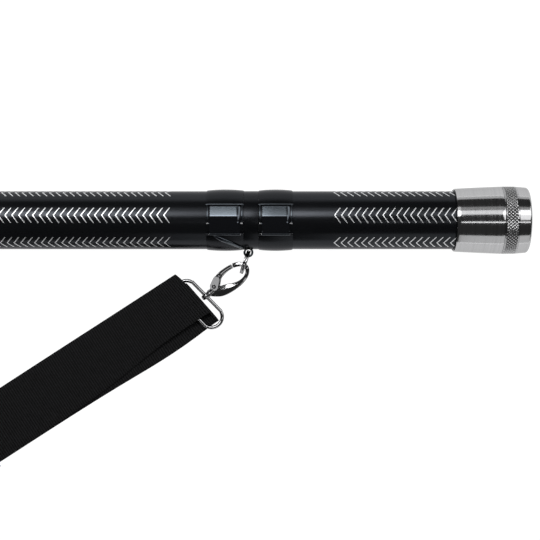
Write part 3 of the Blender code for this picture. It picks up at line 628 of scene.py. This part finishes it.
def make_collar_ring():
    half = RING_HALF + GAP - 0.06 * MM
    band = lathed_ring("collar_band", TUBE_BORE_R, RING_R, -half, half, 0.1 * MM, "moulded")
    steps, profile = 64, []
    half = EYE_THICK / 2
    for k in range(20):
        a = k / 20 * math.tau
        middle = (EYE_HOLE_R + EYE_R) / 2
        wide = (EYE_R - EYE_HOLE_R) / 2
        profile.append((middle + wide * math.copysign(abs(math.cos(a)) ** 0.6, math.cos(a)),
                        half * math.copysign(abs(math.sin(a)) ** 0.6, math.sin(a))))
    verts = []
    for i in range(steps):
        a = i / steps * math.tau
        for radius, up in profile:
            verts.append(collar_point(EYE_X + radius * math.cos(a), EYE_Y + radius * math.sin(a),
                                      AXIS_Z + up))
    eye = add_piece("collar_eye", verts, grid_faces(steps, len(profile), True), "gloss", 60)
    room = rounded_rod("eye_room", collar_point(-20 * MM, 0, AXIS_Z), collar_point(20 * MM, 0, AXIS_Z),
                       TUBE_R - 0.6 * MM, "gloss", steps=FINE_STEPS)
    clamp_room = rounded_rod("clamp_room", collar_point(-26 * MM, 0, AXIS_Z),
                             collar_point(-RING_HALF, 0, AXIS_Z), CLAMP_R_CROWN + 0.3 * MM, "gloss",
                             steps=FINE_STEPS)
    for cutter in (room, clamp_room):
        eye = boolean(eye, cutter, "DIFFERENCE", "gloss")
    eye.name = eye.data.name = "right_collar_eye"
    keep(eye, "root")
    band.name = band.data.name = "right_collar_band"
    keep(band, "root", "right_collar_ring")


def pin_rod(name, start, end, radius, finish, edge, steps):
    """A rod along the axis of a clamp's hinge pin."""
    start, end = (around_tube(x, PIN_CENTRE_R, -PIN_ANGLE) for x in (start, end))
    return rounded_rod(name, start, end, radius, finish, edge, steps)


def make_clamp(which):
    start, end = CLAMPS[which]
    body = "root" if which == "inner" else "right_section"
    outer = []
    for step in range(25):
        along = step / 24
        crown = math.sin(math.pi * along) ** 0.7
        outer.append((start + (end - start) * along, CLAMP_R_EDGE + (CLAMP_R_CROWN - CLAMP_R_EDGE) * crown))
    inner_r = TUBE_R + GAP
    outline = [(end, inner_r), (start, inner_r)] + outer
    verts = []
    steps = 150
    half_gap = TUBE_R * math.sin(CLAMP_WINDOW)
    for i in range(steps + 1):
        for x, radius in outline:
            edge = math.asin(half_gap / radius)
            verts.append(around_tube(x, radius, edge + (math.tau - 2 * edge) * i / steps))
    faces = grid_faces(steps + 1, len(outline)) + end_caps(steps + 1, len(outline))
    parts = [add_piece("band", verts, faces, "moulded")]
    for low in (start + 0.15 * MM, end - LUG_LENGTH):
        parts.append(pin_rod("lug", low, low + LUG_LENGTH - 0.15 * MM, KNUCKLE_R, "moulded", 0.25 * MM, 32))
    keep(join(f"right_{which}_clamp_band", parts, "moulded"), body, f"right_{which}_clamp")
    if which == "inner":
        tail = [(-31.5, 26.1, -32, 0.5), (-29, 26.5, -35, 1.3), (-24, 26.7, -41, 1.9), (-17, 26.8, -49, 1.8),
                (-11, 26.6, -59, 1.5), (-8, 26.2, -68, 1.1), (-7, 25.9, -74, 0.5)]
        rows = smooth_path([(*around_tube(x * MM, r * MM, math.radians(a)), w * MM)
                            for x, r, a, w in tail], 60)
        ups = rows[:, :3] - np.array([0, AXIS_Y, AXIS_Z])
        ups[:, 0] = 0
        verts, faces = sweep_mesh(rows[:, :3], rows[:, 3], rows[:, 3] * 0.5, ups, 20, False, 2.2)
        keep(add_piece("right_collar_tail", verts, faces, "gloss", 50), body)
    make_lever(which, start, end, body)


def make_lever(which, start, end, body):
    """The glossy pad that closes the clamp's gap, with a bevelled rim, its pin and its wire bail."""
    latch = f"right_{which}_latch"
    pad_start, pad_end = start + LUG_LENGTH + GAP, end - LUG_LENGTH - GAP
    across, along = 72, 70
    bevel, slope = 0.7 * MM, 2.8 * MM
    facet_low, facet_high = math.radians(6.0), math.radians(24.0)
    facet_middle = (facet_low + facet_high) / 2
    facet_reach = (LEVER_R_IN + LEVER_THICK) * math.cos((facet_high - facet_low) / 2)
    top, under, faces = [], [], []
    arc = LEVER_ARC + LEVER_HINGE_ARC
    for i in range(across + 1):
        angle = -LEVER_HINGE_ARC + arc * i / across
        to_side = min(i, across - i) / across * arc * TUBE_R
        crest = LEVER_R_IN + LEVER_THICK
        if facet_low < angle < facet_high:
            crest = facet_reach / math.cos(angle - facet_middle)
        for j in range(along + 1):
            x = pad_start + (pad_end - pad_start) * j / along
            slant = slope * (0.8 + 0.5 * i / across)
            to_end = min((x - pad_start) / bevel, (pad_end - x) / slant)
            rise = min(1.0, to_side / bevel, to_end)
            rise = rise * (2 - rise)
            top.append(around_tube(x, LEVER_R_IN + (crest - LEVER_R_IN) * (0.35 + 0.65 * rise), angle))
            under.append(around_tube(x, LEVER_R_IN, angle))
    row, base = along + 1, len(top)
    for i in range(across):
        for j in range(along):
            a = i * row + j
            faces.append((a, a + 1, a + row + 1, a + row))
            faces.append((base + a, base + a + row, base + a + row + 1, base + a + 1))
    rim = [(i * row + j, (i + 1) * row + j) for i in range(across) for j in (0, along)]
    rim += [(i * row + j, i * row + j + 1) for j in range(along) for i in (0, across)]
    faces += [(a, b, base + b, base + a) for a, b in rim]
    pad = add_piece("pad", top + under, faces, "gloss", 7)
    knuckle = pin_rod("knuckle", pad_start, pad_end, KNUCKLE_R - 0.15 * MM, "gloss", 0.25 * MM, 32)
    keep(join(f"right_{which}_lever_pad", [pad, knuckle], "gloss", 7), latch, f"right_{which}_lever")
    pin = pin_rod(f"right_{which}_hinge_pin", start + 0.05 * MM, end - 0.05 * MM, 0.8 * MM, "steel",
                  0.2 * MM, 24)
    keep(pin, body, f"right_{which}_lever_pin")

    leg_near, leg_far = start + 1.1 * MM, end - 1.1 * MM
    radius = LEVER_R_IN + 0.9 * MM
    angles = [math.radians(a) for a in (-8, 0, 8, 16, 23, 27)]
    path = [around_tube(x + 0.3 * MM, radius, angles[0]) for x in (pad_start, leg_near)]
    path += [around_tube(leg_near, radius, a) for a in angles[1:]]
    path += [around_tube(leg_near + 0.8 * MM, radius, math.radians(28.4)),
             around_tube(leg_far - 0.8 * MM, radius, math.radians(28.4))]
    path += [around_tube(leg_far, radius, a) for a in reversed(angles[1:])]
    path += [around_tube(x - 0.3 * MM, radius, angles[0]) for x in (leg_far, pad_end)]
    bail = wire(f"right_{which}_bail_wire", path, BAIL_R, "gloss", 120, up=(0.02, 0.05, 1), sides=14)
    keep(bail, latch, f"right_{which}_lever_bail")
    ends = [rounded_rod("end", around_tube(low, radius, angles[0]),
                        around_tube(low + 1.9 * MM, radius, angles[0]), 0.68 * MM, "steel", 0.2 * MM, 24)
            for low in (start + 0.35 * MM, end - 2.25 * MM)]
    keep(join(f"right_{which}_bail_ends", ends, "steel"), latch)


# Split ring, hook, loop

def make_split_ring():
    """A flattened wire wound nearly twice round, its two turns side by side."""
    eye = collar_point(EYE_X, EYE_Y, AXIS_Z)
    drop = math.sqrt(SPLIT_RING_R ** 2 - SPLIT_RING_REACH ** 2)
    centre = eye + SPLIT_RING_DIR * SPLIT_RING_REACH - Vector((0, 0, drop))
    aside = SPLIT_RING_DIR.cross(Vector((0, 0, 1)))
    half = 0.84 * MM
    turns, samples = 1.94, 220
    path = []
    for i in range(samples):
        share = i / (samples - 1) * turns
        cross = min(1.0, max(0.0, (share - turns / 2 + 0.05) / 0.1))
        offset = half * (2 * cross * cross * (3 - 2 * cross) - 1)
        angle = share * math.tau + 0.6
        path.append(centre + SPLIT_RING_DIR * SPLIT_RING_R * math.cos(angle)
                    + Vector((0, 0, SPLIT_RING_R * math.sin(angle))) + aside * offset)
    verts, faces = sweep_mesh([tuple(p) for p in path], 1.1 * MM, half * 0.95, tuple(aside), 16, False, 3.0)
    ring = add_piece("right_split_ring_wire", verts, faces, "steel", 50)
    keep(ring, "right_ring_link", "right_split_ring")


def hook_frame():
    """The hook's own axes in the world: x along it towards the strap, y to its thick side, z up."""
    along = HOOK_HEADING * math.cos(HOOK_DIP) - Vector((0, 0, math.sin(HOOK_DIP)))
    side = Vector((0, 0, 1)).cross(HOOK_HEADING)
    up = along.cross(side)
    made = Matrix((along, side, up)).transposed().to_4x4()
    made.translation = collar_point(HOOK_CENTRE.x, HOOK_CENTRE.y, HOOK_CENTRE.z)
    return made


def plate(name, outline, place, low, high, edge, finish):
    """A flat plate with eased edges; place turns (a, b, c) in millimetres into a point."""
    middle = np.mean(outline, axis=0)
    size = np.abs(np.array(outline) - middle).max()
    verts = []
    for level, share in ((low, 1 - edge / size), (low + edge, 1), (high - edge, 1), (high, 1 - edge / size)):
        for a, b in outline:
            verts.append(place(middle[0] + (a - middle[0]) * share, middle[1] + (b - middle[1]) * share,
                               level))
    faces = grid_faces(4, len(outline)) + end_caps(4, len(outline))
    return add_piece(name, verts, faces, finish, 25)


def round_ended(start, start_r, end, end_r, steps=16):
    """Outline of two circles joined by straight sides, as (a, b) points."""
    start, end = np.array(start, float), np.array(end, float)
    reach = end - start
    turn = math.atan2(reach[1], reach[0])
    lean = math.acos((start_r - end_r) / np.linalg.norm(reach))
    out = []
    for middle, radius, first, last in ((end, end_r, turn - lean, turn + lean),
                                        (start, start_r, turn + lean, turn + math.tau - lean)):
        for step in range(steps + 1):
            angle = first + (last - first) * step / steps
            out.append((middle[0] + radius * math.cos(angle), middle[1] + radius * math.sin(angle)))
    return out


def make_hook():
    space = hook_frame()

    def at(a, b, c=0.0):
        return space @ Vector((a * MM, b * MM, c * MM))

    def on_pivot(reach):
        return at(*GATE_PIVOT, -reach), at(*GATE_PIVOT, reach)

    up = tuple(space.to_3x3() @ Vector((0, 0, 1)))
    body_path = [(21.2, 0.6, 3.2), (17.0, 2.6, 4.1), (12.8, 4.4, 4.6), (9.0, 5.6, 4.5), (5.0, 6.6, 4.1),
                 (0.0, 7.8, 3.2), (-6.5, 8.5, 2.3), (-12.7, 7.7, 1.8), (-17.4, 5.4, 1.7), (-20.0, 1.8, 1.8),
                 (-19.5, -1.7, 1.9), (-16.0, -5.2, 2.0), (-10.9, -7.2, 2.0)]
    rows = smooth_path([(*at(a, b), r * MM) for a, b, r in body_path], 120)
    # flat facets meet in a ridge along the limb and fall away to a rounded rim
    facets = [(1, 0.0), (0.99, 0.2), (0.9, 0.42), (0.16, 0.96), (0.0, 1.0), (-0.16, 0.96), (-0.9, 0.42),
              (-0.99, 0.2)]
    facets += [(-x, -y) for x, y in facets]
    verts, faces = sweep_mesh(rows[:, :3], rows[:, 3], rows[:, 3] * HOOK_FLATNESS + 0.25 * MM, up,
                              section=facets)
    horn = add_piece("horn", verts, faces, "steel", 18)
    parts = [horn]
    cheek = round_ended(GATE_PIVOT, 3.9, (8.8, -6.1), 3.0)
    for low, high in ((-2.7, -1.35), (1.35, 2.7)):
        parts.append(plate("cheek", cheek, at, low, high, 0.35, "steel"))
    neck = [(0, 2.2 * MM), (0.08, 3.0 * MM), (0.45, 3.2 * MM), (0.62, 2.75 * MM), (0.7, 2.75 * MM),
            (0.78, 3.15 * MM), (0.95, 3.15 * MM), (1, 2.8 * MM)]
    parts.append(spindle("neck", at(16.6, -0.2), at(23.2, 0), neck, "steel", 48))
    slot_cut = rounded_rod("slot_cut", *on_pivot(1.35), 4.5 * MM, "steel", 0.01 * MM, 48)
    parts[0] = boolean(parts[0], slot_cut, "DIFFERENCE", "steel")
    keep(join("right_hook_cast", parts, "steel", 18), "right_hook", "right_hook_body")
    head = [(0, 1.3 * MM), (0.03, 1.8 * MM), (0.065, 1.9 * MM), (0.07, 0.85 * MM), (0.93, 0.85 * MM),
            (0.935, 1.9 * MM), (0.97, 1.8 * MM), (1, 1.3 * MM)]
    keep(spindle("right_gate_rivet", *on_pivot(3.15), head, "steel", 28), "right_hook", "right_gate_pin")

    gate_path = [(13.2, -3.4, 2.4), (10.5, -5.4, 2.9), (7.0, -6.6, 2.8), (2.5, -7.6, 2.5), (-2.1, -7.9, 2.15),
                 (-6.7, -7.7, 2.0), (-9.3, -7.3, 1.9)]
    rows = smooth_path([(*at(a, b), r * MM) for a, b, r in gate_path], 60)
    from_pivot = np.linalg.norm(rows[:, :3] - np.array(at(*GATE_PIVOT)), axis=1)
    height = np.interp(from_pivot, [10.6 * MM, 12.8 * MM], [1.0 * MM, 1.8 * MM])
    verts, faces = sweep_mesh(rows[:, :3], rows[:, 3], height, up, 24, False, 2.4)
    gate_parts = [add_piece("gate_bar", verts, faces, "steel", 50),
                  rounded_rod("gate_eye", *on_pivot(1.0), 2.6 * MM, "steel", 0.2 * MM, 40)]
    keep(join("right_gate_bar", gate_parts, "steel", 40), "right_gate", "right_hook_gate")

    crossing = LOOP_CROSSING
    reach = crossing + 3.9 - 19.8
    outline = [(along - 19.8, radius) for along, radius in (
        (19.8, 1.3), (23.5, 1.3), (23.55, 2.3), (23.75, 2.6), (crossing - 2.95, 2.6), (crossing - 2.75, 2.3),
        (crossing - 2.7, 1.3), (crossing + 2.65, 1.3), (crossing + 2.7, 2.1), (crossing + 2.95, 2.3),
        (crossing + 3.6, 2.1), (crossing + 3.9, 1.2))]
    post = spindle("right_swivel_rivet", at(19.8, 0), at(crossing + 3.9, 0),
                   [(along / reach, radius * MM) for along, radius in outline], "steel", 36)
    keep(post, "right_hook", "right_swivel_post")
    make_loop(at(crossing, 0), (at(crossing + 1, 0) - at(crossing, 0)).normalized())


def make_loop(boss, boss_dir):
    def at(u, w):
        flat = LOOP_U * u + LOOP_W * w
        return collar_point(flat.x, flat.y, LOOP_Z)

    corner_w = (LOOP_SPAN_W[1] - LOOP_SPAN_W[0]) / 2
    middle_w = (LOOP_SPAN_W[1] + LOOP_SPAN_W[0]) / 2
    points = []
    for end, sign in ((LOOP_SPAN_U[1] - LOOP_CORNER_U, 1), (LOOP_SPAN_U[0] + LOOP_CORNER_U, -1)):
        for step in range(13):
            turn = sign * (math.pi / 2 - step / 12 * math.pi)
            points.append(at(end + sign * LOOP_CORNER_U * math.cos(turn),
                             middle_w + corner_w * math.sin(turn)))
    loop = wire("loop_wire", points, LOOP_WIRE, "steel", 200, True, sides=24)
    reach = boss_dir * 2.3 * MM
    collar = spindle("boss", boss - reach, boss + reach,
                     [(0, 1.9 * MM), (0.06, 2.4 * MM), (0.2, 2.75 * MM), (0.8, 2.75 * MM), (0.94, 2.4 * MM),
                      (1, 1.9 * MM)], "steel", 40)
    loop = boolean(loop, collar, "UNION", "steel")
    bore = rounded_rod("bore", boss - 3 * reach, boss + 3 * reach, 1.6 * MM, "steel", 0.01 * MM, 32)
    loop = boolean(loop, bore, "DIFFERENCE", "steel")
    loop.name = loop.data.name = "right_loop_wire"
    keep(loop, "root", "right_strap_loop")


# Strap

def strap_top_z(p):
    """Height of the upper layer's mid-plane on the right leg, at a distance p from the fold."""
    low = STRAP_FLOOR_Z + STRAP_PITCH
    near = max(0.0, 1 - p / (90 * MM))
    hump = max(0.0, 1 - abs(p - SLIDER_P) / (13 * MM))
    rise = 2 * STRAP_FOLD_R - STRAP_PITCH
    over = 2 * (SLIDER_BAR_R + STRAP_THICK / 2 + 0.25 * MM)
    ease = hump * hump * (3 - 2 * hump)
    return low + rise * near * near * (3 - 2 * near) + over * ease


def near_loop(p, reach, power):
    """One at the loop, falling smoothly to nothing along the strap."""
    return 1 / (1 + (abs(p) / reach) ** power)


def upper_spread(p):
    """Sideways offset and half width of the upper layer at a distance p from the loop's fold."""
    near = near_loop(p, 90 * MM, 4)
    return UPPER_SHIFT * near, STRAP_WIDTH / 2 - UPPER_PINCH * near


def lower_spread(p):
    near, close = near_loop(p, 90 * MM, 4), near_loop(p, 30 * MM, 2)
    return LOWER_SHIFT * (0.65 * near + 0.35 * close), STRAP_WIDTH / 2 - LOWER_PINCH * close


def fold_skew(p):
    return STRAP_FOLD_SKEW * max(0.0, 1 - p / (60 * MM))


def strap_path():
    """Stations (p, z, shift, half width, skew) along the flat strap, from its sewn end to its other end."""
    total = 2 * STRAP_LEG
    crease_slant = 1 / math.tan(STRAP_ANGLE)
    high = STRAP_FLOOR_Z + STRAP_PITCH
    path = []
    # sewn end, turned round the slider's middle bar
    path.append((SLIDER_P - 7 * MM, STRAP_FLOOR_Z + 2 * SLIDER_WRAP_R - 0.4 * MM, *lower_spread(SLIDER_P),
                 0))
    for step in range(7):
        turn = math.pi / 2 - step / 6 * math.pi
        path.append((SLIDER_P + SLIDER_WRAP_R * math.cos(turn),
                     STRAP_FLOOR_Z + SLIDER_WRAP_R + SLIDER_WRAP_R * math.sin(turn),
                     *lower_spread(SLIDER_P), 0))
    # lower layer back to the loop
    for p in (225, 200, 175, 150, 130, 110, 95, 80, 65, 50, 36, 24, 15, 8):
        path.append((p * MM, STRAP_FLOOR_Z, *lower_spread(p * MM), fold_skew(p * MM)))
    # fold round the loop's bar: the strap stays between the loop's ends until it is over the wire
    low_shift, low_half = lower_spread(0)
    top_shift, top_half = upper_spread(0)
    for step in range(9):
        turn = -math.pi / 2 - step / 8 * math.pi
        share = max(0.0, step - 6) / 2
        path.append((STRAP_FOLD_R * (1 + math.cos(turn)),
                     STRAP_FLOOR_Z + STRAP_FOLD_R * (1 + math.sin(turn)),
                     low_shift + (top_shift - low_shift) * share, low_half + (top_half - low_half) * share,
                     STRAP_FOLD_SKEW))
    # upper layer to the crease
    for p in (7, 13, 20, 30, 42, 56, 72, 90, 110, 130, 160, 200, 226, 230, 233, 236.5, 240, 243, 246,
              249.5, 253, 256, 262):
        path.append((p * MM, strap_top_z(p * MM), *upper_spread(p * MM), fold_skew(p * MM)))
    half = STRAP_WIDTH / 2
    ramp = STRAP_LEG - 54 * MM
    for step in range(1, 5):
        path.append((ramp + step * 12 * MM, high, 0, half, crease_slant * step / 4))
    arc = math.pi * CREASE_R / math.sin(STRAP_ANGLE)
    for step in range(7):
        path.append((STRAP_LEG + arc * (step / 6 - 0.5), high, 0, half, crease_slant))
    for step in range(4, 0, -1):
        path.append((total - ramp - step * 12 * MM, high, 0, half, crease_slant * step / 4))
    path.append((total - ramp, high, 0, half, 0))
    # left leg on the surface, then over the left loop's bar and back on top
    for back in (240, 200, 160, 130, 110, 90, 72, 56, 42, 30, 20, 12, 7):
        shift, half = lower_spread(back * MM)
        path.append((total - back * MM, high, -shift, half, fold_skew(back * MM)))
    end = total - STRAP_FOLD_R
    for step in range(9):
        turn = -math.pi / 2 + step / 8 * math.pi
        path.append((end + STRAP_FOLD_R * math.cos(turn), high + STRAP_FOLD_R * (1 + math.sin(turn)),
                     -low_shift, low_half, STRAP_FOLD_SKEW))
    for back in (7, 12, 20, 30, 42, 60, 75, LEFT_TAIL / MM):
        shift, half = lower_spread(back * MM)
        path.append((total - back * MM, high + strap_top_z(back * MM) - STRAP_FLOOR_Z, -shift, half,
                     fold_skew(back * MM)))
    return path


def fold_at_crease(points):
    """Turn what lies past the crease back under the strap, round a small half circle."""
    x, y, z = points[..., 0], points[..., 1], points[..., 2]
    past = CREASE_Y - y
    turn = np.clip(past / CREASE_R, 0, math.pi)
    beyond = np.maximum(past - math.pi * CREASE_R, 0)
    folded_y = np.where(past > 0, CREASE_Y - CREASE_R * np.sin(turn) + beyond, y)
    folded_z = z - CREASE_R * (1 - np.cos(turn))
    return np.stack([x, folded_y, folded_z], -1)


def make_strap():
    """Ribbed webbing: a closed ribbon whose two faces swell at each rib."""
    stations = np.array(strap_path())
    run = np.concatenate([[0], np.cumsum(np.hypot(np.diff(stations[:, 0]), np.diff(stations[:, 1])))])
    length = run[-1]
    ribs = round(length / RIB_PITCH)
    rows = ribs * RIB_SAMPLES + 1
    where = np.linspace(0, length, rows)
    fine = np.stack([np.interp(where, run, stations[:, c]) for c in range(5)], 1)
    for _ in range(4):
        fine[1:-1] = (fine[:-2] + 2 * fine[1:-1] + fine[2:]) / 4
    columns = 13
    sides = np.sin(np.linspace(-1, 1, columns) * math.pi / 2)[None, :]
    side = fine[:, 3][:, None] * sides
    p = fine[:, 0][:, None] + fine[:, 4][:, None] * side
    flat = (np.array(STRAP_START)[None, None, :] + np.array(STRAP_ALONG) * p[..., None]
            + np.array(STRAP_ACROSS) * (side + fine[:, 2][:, None])[..., None])
    flat[..., 2] = fine[:, 1][:, None]
    middle = fold_at_crease(flat)
    middle[..., 0] += COLLAR_X
    middle[..., 1] += AXIS_Y
    ahead = np.gradient(middle, axis=0)
    aside = np.gradient(middle, axis=1)
    normal = np.cross(ahead, aside)
    normal /= np.linalg.norm(normal, axis=-1)[..., None]
    phase = np.arange(rows) / RIB_SAMPLES * math.pi
    rib = np.abs(np.sin(phase))[:, None] ** 0.7
    rim = np.sqrt(np.clip(1 - np.abs(sides) ** 14, 0.04, 1))
    half_t = (STRAP_THICK / 2 - RIB_DEPTH + RIB_DEPTH * rib) * rim
    top = middle + normal * half_t[..., None]
    low = middle - normal * half_t[..., None]
    loops = np.concatenate([top, low[:, ::-1]], 1)
    count = loops.shape[1]
    faces = grid_faces(rows, count) + end_caps(rows, count)
    strap = add_piece("shoulder_strap", loops.reshape(-1, 3), faces, "webbing", 80)
    # the faces between the ribs get a near-black finish: painted shade in the grooves
    painted_shade_faces = np.repeat(rib[:-1, 0] + rib[1:, 0] < 1.3, count)
    paint(strap, np.append(painted_shade_faces, [False, False]), "rib_groove_shade")
    keep(strap, "root", "strap_webbing")
    return length


def make_slider():
    frame_z = STRAP_FLOOR_Z + STRAP_PITCH + STRAP_THICK / 2 + GAP + SLIDER_BAR_R + 0.1 * MM
    bar_z = STRAP_FLOOR_Z + SLIDER_WRAP_R
    half_w = STRAP_WIDTH / 2 + 2.2 * MM
    corner = 3 * MM

    def at(p, side, z):
        flat = STRAP_START + Vector(STRAP_ALONG) * (SLIDER_P + p) + Vector(STRAP_ACROSS) * side
        return collar_point(flat.x, flat.y, z)

    points = []
    for sign_p, sign_w, start in ((1, 1, 0), (-1, 1, 90), (-1, -1, 180), (1, -1, 270)):
        for step in range(5):
            turn = math.radians(start + step * 22.5)
            points.append(at(sign_p * (SLIDER_HALF_LENGTH - corner) + corner * math.cos(turn),
                             sign_w * (half_w - corner) + corner * math.sin(turn), frame_z))
    outer = wire("slider_frame", points, SLIDER_BAR_R + 0.1 * MM, "steel", 200, True, sides=20)
    inset = STRAP_WIDTH / 2 + 0.4 * MM
    bar = wire("slider_bar", [at(0, -half_w, frame_z), at(0, -inset, bar_z), at(0, inset, bar_z),
                              at(0, half_w, frame_z)], SLIDER_BAR_R, "steel", 80, sides=20)
    keep(join("slider_wire", [outer, bar], "steel", 50), "root", "strap_slider")


def mirror_to_left():
    """The left half's copy of every right-half piece."""
    flip = Matrix.Scale(-1, 4, Vector((1, 0, 0)))
    for obj, body, nodes in list(PIECES):
        if not obj.name.startswith("right_") or obj.name == "right_chevrons":
            continue
        mesh = obj.data.copy()
        mesh.transform(flip)
        mesh.flip_normals()
        twin = into_scene(bpy.data.objects.new(obj.name.replace("right_", "left_", 1), mesh))
        twin["finish"] = obj["finish"]
        keep(twin, body.replace("right_", "left_", 1), *[n.replace("right_", "left_", 1) for n in nodes])


# Setting: floor, lights, camera

def area_light(name, place, aim, size_x, size_y, radiance):
    """A rectangle of light of a given radiance; size_x runs along the tube."""
    data = bpy.data.lights.new(name, "AREA")
    data.shape = "RECTANGLE"
    data.size, data.size_y = size_x, size_y
    data.energy = radiance * math.pi * size_x * size_y
    light = into_scene(bpy.data.objects.new(name, data))
    light.location = place
    light.rotation_euler = (Vector(aim) - Vector(place)).to_track_quat("-Z", "Y").to_euler()


def make_setting():
    scene = bpy.context.scene
    scene.view_settings.view_transform = "Standard"
    world = scene.world or bpy.data.worlds.new("studio")
    scene.world = world
    world.use_nodes = True
    world.node_tree.nodes["Background"].inputs["Color"].default_value = (1, 1, 1, 1)
    world.node_tree.nodes["Background"].inputs["Strength"].default_value = WORLD_STRENGTH

    made, _, shader = principled("studio_floor", (0.12, 0.12, 0.12), 0.9, Specular_IOR_Level=0.0)
    shader.inputs["Emission Color"].default_value = (1, 1, 1, 1)
    shader.inputs["Emission Strength"].default_value = 1.0
    verts = [(x * FLOOR_REACH, y * FLOOR_REACH, 0) for x, y in ((-1, -1), (1, -1), (1, 1), (-1, 1))]
    floor_mesh = bpy.data.meshes.new("floor")
    floor_mesh.from_pydata(verts, [], [(0, 1, 2, 3)])
    floor_mesh.materials.append(made)
    floor = into_scene(bpy.data.objects.new("floor", floor_mesh))
    floor.location = (0, 0, -FLOOR_DROP)

    for name, zenith, half, distance, left, right, radiance in LONG_LIGHTS:
        angle = math.radians(zenith)
        aim = Vector(((left + right) / 2, AXIS_Y, AXIS_Z))
        place = aim + Vector((0, math.sin(angle), math.cos(angle))) * distance
        area_light(name, place, aim, right - left, 2 * distance * math.tan(math.radians(half)), radiance)
    # a broad light past the tube's end, seen in the lid's tapered rim, and one past the strap for the hook
    area_light("end_softbox", collar_point(1.0, 0.5, 1.12), collar_point(0.1, 0, AXIS_Z), 0.75, 1.3, 1.8)
    area_light("strap_softbox", collar_point(-0.8, -0.6, 0.95), collar_point(HOOK_CENTRE.x, HOOK_CENTRE.y, 0),
               0.45, 0.45, 0.9)

    camera_data = bpy.data.cameras.new("camera")
    camera = into_scene(bpy.data.objects.new("camera", camera_data))
    camera_data.sensor_width = 36.0
    camera_data.lens = 36.0 * CAMERA_FOCAL_WIDTHS
    camera.location = collar_point(*CAMERA_OVER, AXIS_Z + CAMERA_HEIGHT)
    camera.rotation_euler = (0, 0, 0)
    scene.camera = camera


make_setting()
make_tubes()
make_chevrons()
make_ferrule()
make_lid()
make_collar_ring()
for side_of_ring in CLAMPS:
    make_clamp(side_of_ring)
make_split_ring()
make_hook()
strap_length = make_strap()
make_slider()
mirror_to_left()
print("strap length", round(strap_length, 4))
